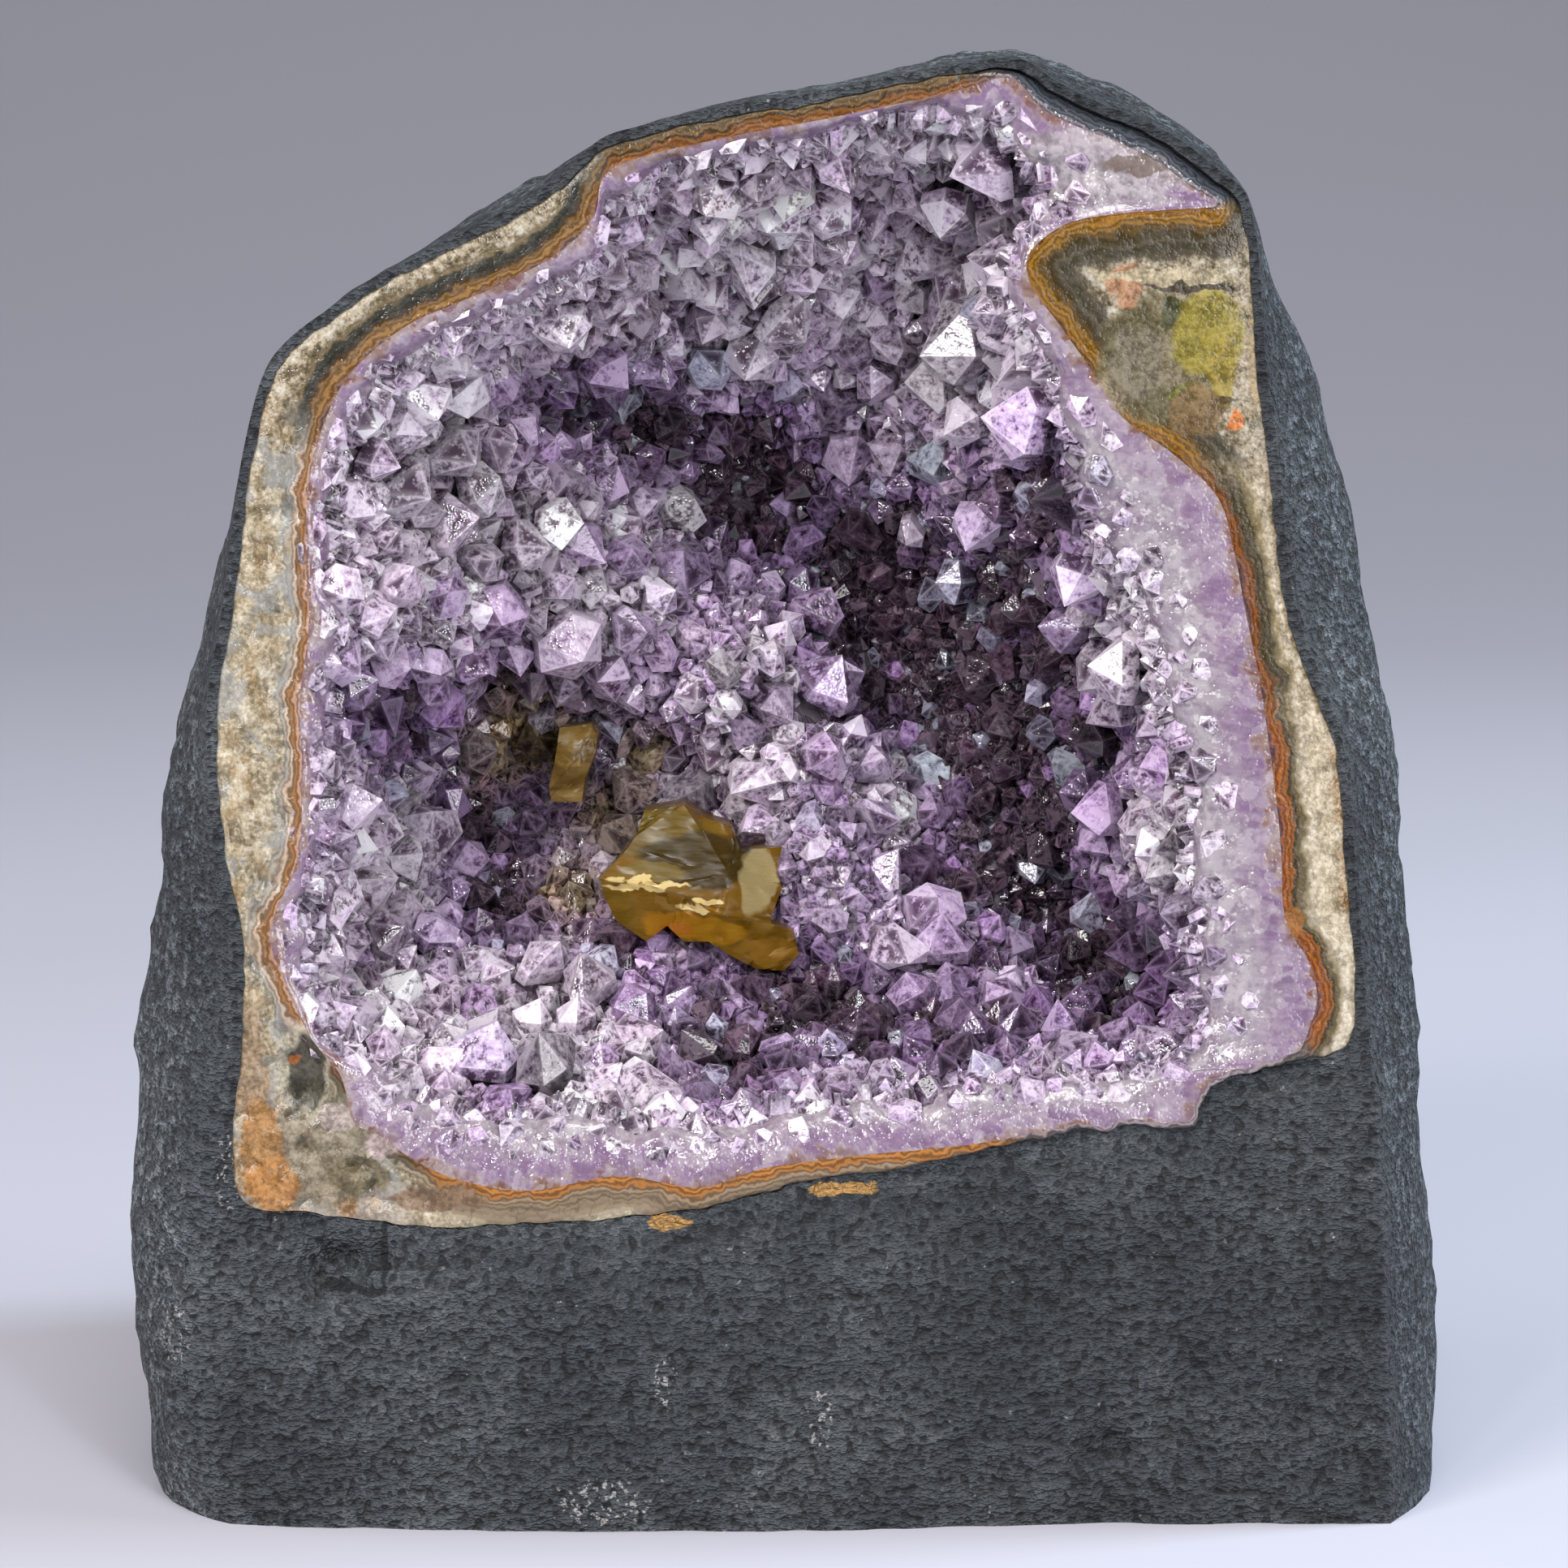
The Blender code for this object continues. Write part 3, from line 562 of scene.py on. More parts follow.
def place_on_piece(tree, scale=(1.0, 1.0, 1.0)):
    """Object coordinates in mm, stretched by scale."""
    coordinates = add(tree, "ShaderNodeTexCoord").outputs["Object"]
    in_mm = tuple(k / MM for k in scale)
    return add(tree, "ShaderNodeMapping", {"Vector": coordinates, "Scale": in_mm}).outputs[0]


def grain(tree, place, size, detail=3.0, rough=0.55, distortion=0.0):
    """Noise whose lumps are about size mm across."""
    inputs = {
        "Vector": place, "Scale": 1 / size, "Detail": detail, "Roughness": rough, "Distortion": distortion,
    }
    return add(tree, "ShaderNodeTexNoise", inputs).outputs[0]


def read(tree, name, output="Fac"):
    return add(tree, "ShaderNodeAttribute", attribute_name=name).outputs[output]


def new_group(name, inputs, outputs):
    group = bpy.data.node_groups.new(name, "ShaderNodeTree")
    for direction, sockets in (("INPUT", inputs), ("OUTPUT", outputs)):
        for label, kind in sockets:
            group.interface.new_socket(label, in_out=direction, socket_type=f"NodeSocket{kind}")
    return group, add(group, "NodeGroupInput"), add(group, "NodeGroupOutput")


def make_patch_group():
    """A soft-edged ellipse round one place: 1 inside and 0 outside."""
    group, given, result = new_group(
        "patch",
        (("Place", "Vector"), ("Centre", "Vector"), ("Reach", "Vector")),
        (("Mask", "Float"),),
    )
    away = vectors(group, "SUBTRACT", {0: given.outputs[0], 1: given.outputs[1]})
    share = vectors(group, "DIVIDE", {0: away, 1: given.outputs[2]})
    length = add(group, "ShaderNodeVectorMath", {0: share}, operation="LENGTH")
    group.links.new(ranged(group, length.outputs["Value"], 1.06, 0.88), result.inputs[0])
    return group


def make_speckle_group():
    """Scattered specks: the peaks of fine noise above a limit."""
    group, given, result = new_group(
        "speckle",
        (("Place", "Vector"), ("Fineness", "Float"), ("Limit", "Float")),
        (("Mask", "Float"),),
    )
    inputs = {"Vector": given.outputs[0], "Scale": given.outputs[1], "Detail": 2.0, "Roughness": 0.5}
    speck = add(group, "ShaderNodeTexNoise", inputs).outputs[0]
    above = maths(group, "SUBTRACT", speck, given.outputs[2])
    group.links.new(maths(group, "MULTIPLY", above, 18.0, clamp=True), result.inputs[0])
    return group


def make_swirl_group():
    """Thin winding lines, where noise passes through its middle."""
    group, given, result = new_group(
        "swirls",
        (("Place", "Vector"), ("Fineness", "Float"), ("Half Width", "Float")),
        (("Mask", "Float"),),
    )
    inputs = {"Vector": given.outputs[0], "Scale": given.outputs[1], "Detail": 3.0, "Roughness": 0.55}
    winding = add(group, "ShaderNodeTexNoise", inputs).outputs[0]
    apart = maths(group, "ABSOLUTE", maths(group, "SUBTRACT", winding, 0.5))
    near = maths(group, "DIVIDE", apart, given.outputs[2])
    group.links.new(maths(group, "SUBTRACT", 1.0, near, clamp=True), result.inputs[0])
    return group


PATCH = make_patch_group()
SWIRLS = make_swirl_group()
SPECKLE = make_speckle_group()
PATCH_DEPTH = 12.0  # how far into the stone a patch of colour goes, in mm


def ragged_place(tree, amount=0.8, size=1.6):
    """Object coordinates in mm, pushed about so that what is drawn on them has ragged edges."""
    place = place_on_piece(tree)
    inputs = {"Vector": place, "Scale": 1 / size, "Detail": 3.0}
    push = add(tree, "ShaderNodeTexNoise", inputs).outputs[1]
    centred = vectors(tree, "SUBTRACT", {0: push, 1: (0.5, 0.5, 0.5)})
    scaled = vectors(tree, "SCALE", {0: centred, "Scale": amount * 2})
    return vectors(tree, "ADD", {0: place, 1: scaled})


def patch(tree, place, x, s, across, up, d=0.0):
    """The mask of an ellipse seen on the face at x and s, with its reach in mm, on what lies at depth d."""
    centre = tuple(in_place(*behind_view(x, s, d)) / MM)
    inputs = {"Place": place, "Centre": centre, "Reach": (across, PATCH_DEPTH, up)}
    return add(tree, "ShaderNodeGroup", inputs, node_tree=PATCH).outputs[0]


def speckle(tree, place, size, limit):
    inputs = {"Place": place, "Fineness": 1 / size, "Limit": limit}
    return add(tree, "ShaderNodeGroup", inputs, node_tree=SPECKLE).outputs[0]


def swirls(tree, place, size, half_width):
    inputs = {"Place": place, "Fineness": 1 / size, "Half Width": half_width}
    return add(tree, "ShaderNodeGroup", inputs, node_tree=SWIRLS).outputs[0]


def new_material(name):
    made = bpy.data.materials.new(name)
    made.use_nodes = True
    return made, made.node_tree, made.node_tree.nodes["Principled BSDF"]


def connect(tree, shader, **sockets):
    for name, value in sockets.items():
        socket = shader.inputs[name.replace("_", " ").title()]
        if isinstance(value, bpy.types.NodeSocket):
            tree.links.new(value, socket)
        else:
            socket.default_value = value


def bumped(tree, height, distance, strength):
    """A normal from relief whose full height is distance, in mm."""
    inputs = {"Height": height, "Distance": distance * MM, "Strength": strength}
    return add(tree, "ShaderNodeBump", inputs).outputs[0]


# White specks and gold flakes on the basalt: x, s and reach of each patch
SPECK_PATCHES = (
    (3.4, 10.8, 1.2, 3.4), (-17.0, 2.7, 4.5, 2.4), (-11.2, 14.2, 1.2, 2.6), (-58.2, 18.1, 1.5, 3.0),
    (-52.8, 33.6, 1.5, 4.0), (-44.6, 30.4, 4.0, 0.9),
)
FLAKES = ((-10.9, 29.1, 2.2, 0.6), (5.7, 32.1, 3.4, 0.6))
# Cracks of the basalt, and a painted shadow line under the rind's lower left edge (the second row): x, s and
# reach of each
CRACKS_AND_SHADOW_LINE = ((-38.0, 26.6, 0.35, 4.6), (-30.0, 29.3, 11.0, 0.45), (-41.0, 22.6, 3.4, 0.5))


def basalt_material():
    made, tree, shader = new_material("matt dark basalt")
    place = place_on_piece(tree)
    flat = place_on_piece(tree, (0.62, 0.8, 1.25))
    broad = grain(tree, place, 14.0, 1.0, 0.6)
    wrinkle = grain(tree, flat, 0.85, 2.0, 0.75)
    pores = grain(tree, place, 0.8, 0.0)
    crumbs = grain(tree, place, 1.3, 2.0, 0.8)
    side = ranged(tree, read(tree, "depth"), 0.5, 3.0)
    pitted = ranged(tree, crumbs, 0.42, 0.56, -1.0, 0.0)
    pits = times(tree, pitted, side)
    colour = ramp(tree, broad, ((0.3, (53, 57, 61)), (0.5, (64, 68, 72)), (0.7, (77, 81, 84))))
    # Painted shade and light: the basalt is darkened where a vertex lies below its smoothed surroundings and
    # lightened where it stands above them.
    hollow = ranged(tree, read(tree, "hollowness"), -0.25, 0.3, 1.3, 0.6)
    # Painted shade: darker in the troughs of the wrinkles, in the pores and in the pits, which are also the
    # low parts of the bump.
    painted_light_shade_and_tone = times(tree, ranged(tree, wrinkle, 0.36, 0.62, 0.6, 1.25), hollow)
    painted_light_shade_and_tone = times(tree, painted_light_shade_and_tone, ranged(tree, pores, 0.3, 0.4, 0.45, 1.0))
    painted_light_shade_and_tone = times(tree, painted_light_shade_and_tone, plus(tree, times(tree, pits, 0.62), 1.0))
    # Painted light: the sides behind the front are lightened to about twice the front's brightness.
    painted_light_shade_and_tone = times(tree, painted_light_shade_and_tone, plus(tree, times(tree, side, 1.1), 1.0))
    # The front is made darker towards its right.
    x = add(tree, "ShaderNodeSeparateXYZ", {0: place}).outputs[0]
    to_right = ranged(tree, x, -30.0, 50.0, 0.04, -0.2)
    in_front = maths(tree, "SUBTRACT", 1.0, side)
    painted_light_shade_and_tone = times(tree, painted_light_shade_and_tone, plus(tree, times(tree, to_right, in_front), 1.0))
    ragged = ragged_place(tree)
    specks = times(tree, speckle(tree, place, 0.9, 0.72), 0.5)
    cluster = speckle(tree, place, 0.55, 0.56)
    for x, s, across, up in SPECK_PATCHES:
        inside = times(tree, patch(tree, ragged, x, s, across, up), cluster)
        specks = maths(tree, "MAXIMUM", specks, times(tree, inside, 0.75))
    speckled = mixed(tree, specks, shaded(tree, colour, painted_light_shade_and_tone), srgb(176, 172, 172))
    for x, s, across, up in CRACKS_AND_SHADOW_LINE:
        # Each row is painted very dark: the cracks, and the painted shadow under the rind.
        dark_line_mask = times(tree, patch(tree, ragged, x, s, across, up), 0.8)
        speckled = mixed(tree, dark_line_mask, speckled, srgb(26, 28, 30))
    for x, s, across, up in FLAKES:
        speckled = mixed(tree, patch(tree, ragged, x, s, across, up), speckled, srgb(176, 134, 78))
    holes = ranged(tree, pores, 0.28, 0.42, -0.35, 0.0)
    height = plus(tree, wrinkle, holes)
    height = plus(tree, height, times(tree, pits, 1.3))
    connect(tree, shader, base_color=speckled, roughness=0.78,
            normal=bumped(tree, height, 3.2, 1.0))
    shader.inputs["Specular IOR Level"].default_value = 0.35
    return made


# Bands of the agate, from where it meets the quartz outwards, in mm, for each place round the rim
AGATE_BANDS = {
    "corner": (
        (0.0, (82, 55, 33)), (0.7, (69, 59, 41)), (1.4, (126, 116, 98)), (2.6, (87, 76, 54)),
        (3.6, (126, 113, 90)), (5.0, (138, 97, 57)), (8.0, (141, 91, 42)), (11.0, (113, 82, 52)),
    ),
    "left": (
        (0.0, (140, 112, 98)), (0.45, (132, 92, 56)), (0.8, (100, 70, 40)), (1.1, (150, 128, 108)),
        (2.0, (122, 120, 112)), (3.2, (150, 140, 120)), (4.6, (112, 100, 76)), (6.0, (162, 150, 126)),
    ),
    "upper": (
        (0.0, (84, 64, 57)), (0.3, (102, 69, 34)), (0.9, (112, 83, 45)), (1.4, (73, 52, 29)),
        (1.8, (38, 36, 29)), (2.5, (43, 43, 37)), (2.9, (98, 84, 61)), (3.5, (59, 53, 39)),
        (4.4, (105, 92, 71)),
    ),
    "top": (
        (0.0, (104, 64, 26)), (0.5, (104, 62, 20)), (0.9, (64, 46, 25)), (1.4, (91, 70, 41)),
        (2.0, (59, 52, 37)),
    ),
    "tip": ((0.0, (96, 88, 92)), (0.5, (66, 68, 74)), (1.2, (58, 62, 68))),
    "lump": (
        (0.0, (84, 54, 12)), (0.35, (116, 78, 14)), (1.2, (100, 70, 12)), (1.8, (62, 46, 16)),
        (2.4, (48, 40, 20)), (2.8, (71, 63, 48)), (3.3, (46, 40, 22)), (4.2, (68, 61, 47)),
        (8.0, (71, 61, 41)), (12.0, (81, 68, 38)),
    ),
    "shoulder": (
        (0.0, (74, 45, 40)), (0.3, (100, 54, 14)), (0.9, (92, 52, 14)), (1.3, (53, 43, 23)),
        (2.2, (62, 54, 33)), (2.7, (120, 106, 76)), (3.4, (141, 128, 104)), (4.4, (96, 77, 47)),
    ),
    "right": (
        (0.0, (83, 52, 49)), (0.25, (112, 58, 14)), (1.1, (116, 66, 18)), (1.5, (54, 43, 26)),
        (1.9, (79, 68, 44)), (2.4, (120, 108, 84)), (2.8, (176, 166, 148)), (4.2, (190, 177, 151)),
        (5.2, (132, 116, 90)), (6.0, (140, 100, 48)),
    ),
    "foot": ((0.0, (116, 104, 109)), (0.5, (78, 70, 66)), (1.0, (60, 56, 53))),
    "bottom": (
        (0.0, (138, 90, 42)), (0.7, (124, 80, 36)), (1.1, (118, 99, 78)), (2.0, (104, 89, 71)),
        (3.0, (127, 111, 91)), (4.0, (162, 151, 130)),
    ),
}
BAND_REACH = 14.0
AGATE_LAYER = 0.55  # thickness of its finest layers, in mm
# Kinds of agate with a grainy cream matrix outside this distance from the quartz, in mm
GRAINY_FROM = {
    "corner": 1.2, "left": 1.8, "upper": 2.9, "lump": 4.2, "shoulder": 2.6, "right": 2.3, "bottom": 3.4,
}
AGATE_MATRIX = (
    (0.36, (48, 42, 32)), (0.44, (104, 92, 70)), (0.5, (144, 130, 106)), (0.56, (176, 164, 142)),
    (0.66, (208, 202, 188)),
)

# Patches in the lump and the corner: x, s, reach across and up, colour
AGATE_PATCHES = (
    (36.0, 111.0, 6.8, 6.6, (86, 78, 54)),
    (32.2, 118.2, 1.6, 2.2, (135, 96, 67)),
    (33.4, 110.6, 2.8, 3.4, (98, 90, 74)),
    (36.9, 115.2, 1.5, 1.8, (50, 52, 28)),
    (40.2, 113.4, 3.6, 4.4, (116, 104, 32)),
    (41.4, 109.6, 1.4, 3.6, (120, 104, 40)),
    (43.0, 105.4, 0.8, 0.9, (170, 96, 36)),
    (38.2, 107.6, 2.2, 0.9, (88, 88, 28)),
    (35.6, 118.9, 7.0, 0.7, (150, 138, 112)),
    (38.6, 117.8, 5.0, 0.4, (36, 28, 18)),
    (30.6, 106.6, 1.6, 2.6, (112, 100, 80)),
    (39.6, 107.0, 3.2, 0.5, (40, 34, 22)),
    (44.4, 113.0, 0.5, 8.0, (129, 111, 79)),
    (39.0, 106.0, 2.6, 2.6, (97, 76, 47)),
    (-44.0, 36.0, 5.4, 6.0, (112, 104, 88)),
    (-50.6, 43.0, 1.5, 7.0, (124, 104, 82)),
    (-49.8, 36.0, 2.0, 5.0, (138, 100, 58)),
    (-48.6, 32.6, 2.6, 2.6, (142, 98, 52)),
    (-46.0, 43.4, 2.7, 4.6, (150, 142, 124)),
    (-45.6, 43.2, 2.0, 3.9, (30, 29, 22)),
    (-46.8, 44.4, 0.6, 0.6, (134, 74, 20)),
    (-42.6, 39.0, 1.9, 1.4, (156, 142, 136)),
    (-38.4, 36.4, 1.8, 1.6, (150, 134, 130)),
    (-40.6, 33.4, 3.0, 1.8, (92, 82, 60)),
    (-33.0, 31.2, 5.0, 1.2, (106, 84, 64)),
    (48.2, 57.2, 1.4, 1.6, (114, 73, 30)),
)


def agate_material():
    made, tree, shader = new_material("polished agate")
    place = place_on_piece(tree)
    wave = times(tree, maths(tree, "SUBTRACT", grain(tree, place, 3.6, 3.0), 0.5), 2.6)
    ripple = times(tree, maths(tree, "SUBTRACT", grain(tree, place, 0.9, 2.0), 0.5), 0.5)
    from_quartz = plus(tree, read(tree, "from_quartz"), plus(tree, wave, ripple))
    share = maths(tree, "DIVIDE", from_quartz, BAND_REACH)
    coarse = grain(tree, place, 1.7, 3.0, 0.75)
    fine = grain(tree, place, 0.45, 1.0, 0.7)
    crumbs = plus(tree, times(tree, coarse, 0.65), times(tree, fine, 0.35))
    matrix = ramp(tree, crumbs, AGATE_MATRIX)
    colour = None
    for name in AGATES:
        bands = ramp(tree, share, [(mm / BAND_REACH, rgb) for mm, rgb in AGATE_BANDS[name]])
        if name in GRAINY_FROM:
            start = GRAINY_FROM[name]
            outside = ranged(tree, from_quartz, start, start + 0.6, 0.0, 0.6)
            bands = mixed(tree, outside, bands, matrix)
        colour = bands if colour is None else mixed(tree, read(tree, name), colour, bands)
    layer = times(tree, from_quartz, math.tau / AGATE_LAYER)
    fading = ranged(tree, from_quartz, 1.0, 2.8, 0.42, 0.07)
    layers = plus(tree, times(tree, maths(tree, "SINE", layer), fading), 0.92)
    colour = shaded(tree, colour, layers)
    broad = grain(tree, place, 4.5, 3.0, 0.6, 0.6)
    crumbly = plus(tree, read(tree, "left"), read(tree, "corner"))
    crumbly = times(tree, crumbly, ranged(tree, from_quartz, 1.0, 1.8))
    gold = times(tree, ranged(tree, broad, 0.55, 0.62, 0.0, 0.3), crumbly)
    colour = mixed(tree, gold, colour, srgb(136, 104, 60))
    bluish = times(tree, ranged(tree, broad, 0.48, 0.42, 0.0, 0.6), crumbly)
    colour = mixed(tree, bluish, colour, srgb(122, 124, 124))
    ragged = ragged_place(tree, 1.3, 2.2)
    for x, s, across, up, rgb in AGATE_PATCHES:
        mask = times(tree, patch(tree, ragged, x, s, across, up), 0.85)
        inside = shaded(tree, srgb(*rgb), ranged(tree, crumbs, 0.4, 0.6, 0.55, 1.35))
        colour = mixed(tree, mask, colour, inside)
    cracks = times(tree, swirls(tree, place, 5.0, 0.008), ranged(tree, from_quartz, 0.8, 2.0))
    colour = mixed(tree, times(tree, cracks, 0.4), colour, srgb(44, 36, 26))
    polish = ranged(tree, read(tree, "tip"), 0.0, 1.0, 1.0, 0.3)
    rough = times(tree, ranged(tree, coarse, 0.35, 0.65, 0.14, 0.4), polish)
    connect(tree, shader, base_color=colour, roughness=rough, normal=bumped(tree, coarse, 0.3, 0.6))
    shader.inputs["Specular IOR Level"].default_value = 0.3
    return made


LIP_SECTION = 1.7  # width of the cut crystals that show in the lip, in mm
LIP_REACH = 12.0  # how far the colours of the lip run from the agate, in mm
LIP_COLOURS = (
    (0.0, (98, 58, 32)), (0.025, (108, 70, 52)), (0.06, (132, 112, 122)), (0.12, (112, 84, 118)),
    (0.26, (126, 106, 126)), (0.42, (138, 128, 135)), (0.55, (150, 144, 147)), (0.75, (120, 106, 120)),
    (1.0, (82, 70, 82)),
)


def lip_material():
    """Polished quartz: purple beside the rind, milky further in, with fibres that grow away from it."""
    made, tree, shader = new_material("polished lilac quartz")
    place = place_on_piece(tree)
    from_rind = read(tree, "from_rind")
    drawn_out = {0: times(tree, read(tree, "along"), 1.1), 1: times(tree, from_rind, 0.3)}
    fibre_place = add(tree, "ShaderNodeCombineXYZ", drawn_out).outputs[0]
    fibres = grain(tree, fibre_place, 1.0, 2.0, 0.6, 0.6)
    clouds = grain(tree, place, 3.2, 2.0, 0.7, 0.6)
    mottle = grain(tree, place, 1.1, 2.0, 0.7)
    inputs = {"Vector": ragged_place(tree, 0.6, 0.9), "Scale": 1 / LIP_SECTION}
    sections = add(tree, "ShaderNodeTexVoronoi", inputs).outputs[1]
    tone = add(tree, "ShaderNodeSeparateColor", {0: sections}).outputs[0]
    ripple = times(tree, maths(tree, "SUBTRACT", clouds, 0.5), 7.0)
    across = plus(tree, from_rind, ripple)
    body = ramp(tree, maths(tree, "DIVIDE", across, LIP_REACH), LIP_COLOURS)
    cells = mixed(tree, ranged(tree, tone, 0.3, 1.0, 0.0, 0.5), body, srgb(168, 160, 163))
    sunken = mixed(tree, ranged(tree, tone, 0.3, 0.0, 0.0, 0.5), cells, srgb(104, 88, 106))
    streaked = mixed(tree, ranged(tree, fibres, 0.45, 0.7, 0.0, 0.3), sunken, srgb(172, 163, 167))
    veiled = mixed(tree, ranged(tree, mottle, 0.52, 0.36, 0.0, 0.5), streaked, srgb(104, 82, 104))
    frost = times(tree, speckle(tree, place, 0.8, 0.6), ranged(tree, across, 2.0, 5.0, 0.0, 0.45))
    frosted = mixed(tree, frost, veiled, srgb(202, 196, 197))
    torn = ragged_place(tree, 1.2, 1.5)
    greyer = times(tree, patch(tree, torn, 29.6, 129.4, 10.0, 3.6), 0.72)
    grey = shaded(tree, srgb(152, 144, 146), ranged(tree, mottle, 0.35, 0.6, 0.5, 1.25))
    frosted = mixed(tree, greyer, frosted, grey)
    brown = times(tree, patch(tree, torn, 33.2, 129.2, 3.4, 0.9), 0.8)
    colour = mixed(tree, brown, frosted, srgb(96, 82, 72))
    connect(tree, shader, base_color=colour, roughness=ranged(tree, mottle, 0.3, 0.7, 0.08, 0.26),
            normal=bumped(tree, mottle, 0.35, 0.6), coat_weight=0.3)
    shader.inputs["IOR"].default_value = 1.54
    shader.inputs["Transmission Weight"].default_value = 0.08
    return made


def crystal_material():
    made, tree, shader = new_material("amethyst crystal")
    place = place_on_piece(tree)
    tint_with_painted_light_and_shade = read(tree, "tint_with_painted_light_and_shade", "Color")
    apart = add(tree, "ShaderNodeSeparateColor", {0: read(tree, "ridges", "Color")}).outputs
    nearest = maths(tree, "MINIMUM", maths(tree, "MINIMUM", apart[0], apart[1]), apart[2])
    # Painted reflection: a random brightness for each facet, read from the crystals' mesh.
    tone = read(tree, "painted_reflection_tone")
    clouds = grain(tree, place, 0.9, 2.0, 0.8)
    zones = grain(tree, place, 4.2, 1.0, 0.5)
    # Painted sheen: faces seen edge-on to the camera are made lighter.
    facing = add(tree, "ShaderNodeLayerWeight", {"Blend": 0.5}).outputs["Facing"]
    # A lighter and a darker copy of the tint, used for the milky and smoky veils and also for the painted
    # highlights and the painted facet shade.
    bright = mixed(tree, 1.0, tint_with_painted_light_and_shade, mixed(tree, 0.1, tint_with_painted_light_and_shade, srgb(226, 218, 228)), "SCREEN")
    dark = mixed(tree, 1.0, tint_with_painted_light_and_shade, srgb(84, 58, 80), "MULTIPLY")
    purple = mixed(tree, ranged(tree, zones, 0.46, 0.62, 0.0, 0.4), tint_with_painted_light_and_shade, srgb(172, 132, 190), "MULTIPLY")
    # Painted reflection: the facets' random brightness and the sheen are added to the veils, so the milky
    # and smoky parts follow them as well as the veils.
    painted_reflection = plus(tree, times(tree, tone, 0.6), times(tree, facing, 0.2))
    veils_and_painted_reflection = plus(tree, times(tree, clouds, 1.6), painted_reflection)
    milky = mixed(tree, ranged(tree, veils_and_painted_reflection, 1.2, 1.4, 0.0, 0.85), purple, bright)
    smoky = mixed(tree, ranged(tree, veils_and_painted_reflection, 1.14, 0.9, 0.0, 0.92), milky, dark)
    # Painted highlight: the colour lightens towards each facet's ridges.
    painted_edge_light = mixed(tree, ranged(tree, nearest, 0.22, 0.0, 0.0, 0.25), smoky, bright)
    # Painted highlight: bright lines along the ridges, only in some zones.
    ridge_highlight_zones = ranged(tree, zones, 0.42, 0.6, 0.0, 1.0)
    ridge = times(tree, ranged(tree, nearest, 0.07, 0.02, 0.0, 0.35), ridge_highlight_zones)
    edged = mixed(tree, ridge, painted_edge_light, bright)
    connect(tree, shader, base_color=edged, roughness=ranged(tree, clouds, 0.35, 0.65, 0.06, 0.2),
            normal=bumped(tree, clouds, 0.2, 0.5))
    shader.inputs["IOR"].default_value = 1.54
    shader.inputs["Transmission Weight"].default_value = 0.25
    return made


CALCITE_DEPTH = 25.0
# The kinds of calcite: their deep, middle and pale colours, then patches: x, s, reach across and up, colour
CALCITES = {
    "honey calcite": (
        ((58, 44, 8), (104, 72, 6), (112, 86, 28)),
        (
            (-12.0, 66.0, 5.0, 2.6, (88, 70, 4)),
            (-8.0, 63.4, 6.0, 2.6, (48, 38, 10)),
            (-2.4, 61.6, 1.9, 3.4, (150, 134, 92)),
            (-9.6, 57.6, 4.2, 1.7, (146, 98, 8)),
            (-10.4, 57.0, 2.0, 0.7, (142, 80, 6)),
            (-6.0, 57.0, 2.8, 1.3, (144, 102, 16)),
            (-15.6, 59.6, 1.8, 2.2, (96, 72, 8)),
            (-1.4, 55.2, 3.2, 1.8, (132, 94, 28)),
            (-12.6, 62.4, 3.4, 0.9, (104, 86, 34)),
            # Two thin pale lines along cleavage steps: pale chips, and the glint along each step painted in
            # as a highlight.
            (-13.0, 61.3, 4.2, 0.35, (214, 190, 130)),
            (-8.2, 59.6, 2.4, 0.4, (214, 190, 130)),
        ),
    ),
    "smoky calcite": (
        ((76, 54, 24), (112, 86, 36), (150, 124, 76)),
        ((-20.4, 74.8, 1.6, 1.4, (128, 102, 50)),),
    ),
}


def calcite_material(name):
    made, tree, shader = new_material(name)
    (deep, middle, pale), patches = CALCITES[name]
    clouds = grain(tree, place_on_piece(tree, (0.6, 1.0, 1.6)), 4.0, 4.0, 0.6, 0.8)
    sheets = grain(tree, place_on_piece(tree, (0.5, 0.5, 3.0)), 1.2, 2.0, 0.5)
    colour = ramp(tree, clouds, ((0.3, deep), (0.5, middle), (0.7, pale)))
    ragged = ragged_place(tree, 1.6, 3.0)
    for x, s, across, up, rgb in patches:
        mask = patch(tree, ragged, x, s, across, up, CALCITE_DEPTH)
        colour = mixed(tree, times(tree, mask, 0.85), colour, srgb(*rgb))
    streaked = mixed(tree, ranged(tree, sheets, 0.6, 0.72, 0.0, 0.05), colour, srgb(176, 152, 104))
    connect(tree, shader, base_color=streaked, roughness=ranged(tree, sheets, 0.3, 0.7, 0.18, 0.42),
            normal=bumped(tree, sheets, 0.06, 0.4))
    shader.inputs["IOR"].default_value = 1.6
    shader.inputs["Specular IOR Level"].default_value = 0.12
    shader.inputs["Transmission Weight"].default_value = 0.2
    return made


# The basalt body

# Dents and lumps of the front below the hollow: x, s, reach across and up, depth in mm
FRONT_DENTS = (
    (-42.4, 24.6, 4.0, 3.2, 2.3),
    (-38.2, 27.2, 1.0, 2.8, 1.6),
    (30.7, 7.7, 2.6, 1.8, 1.2),
    (-36.0, 22.0, 6.0, 2.4, -0.7),
    (-20.0, 22.0, 9.0, 4.0, -0.5),
)


def front_swell(x, s):
    across = (x - FRONT_BULGE_AT[0]) / FRONT_BULGE_REACH[0]
    up = (s - FRONT_BULGE_AT[1]) / FRONT_BULGE_REACH[1]
    return FRONT_BULGE * np.maximum(0.0, 1 - across**2 - up**2)


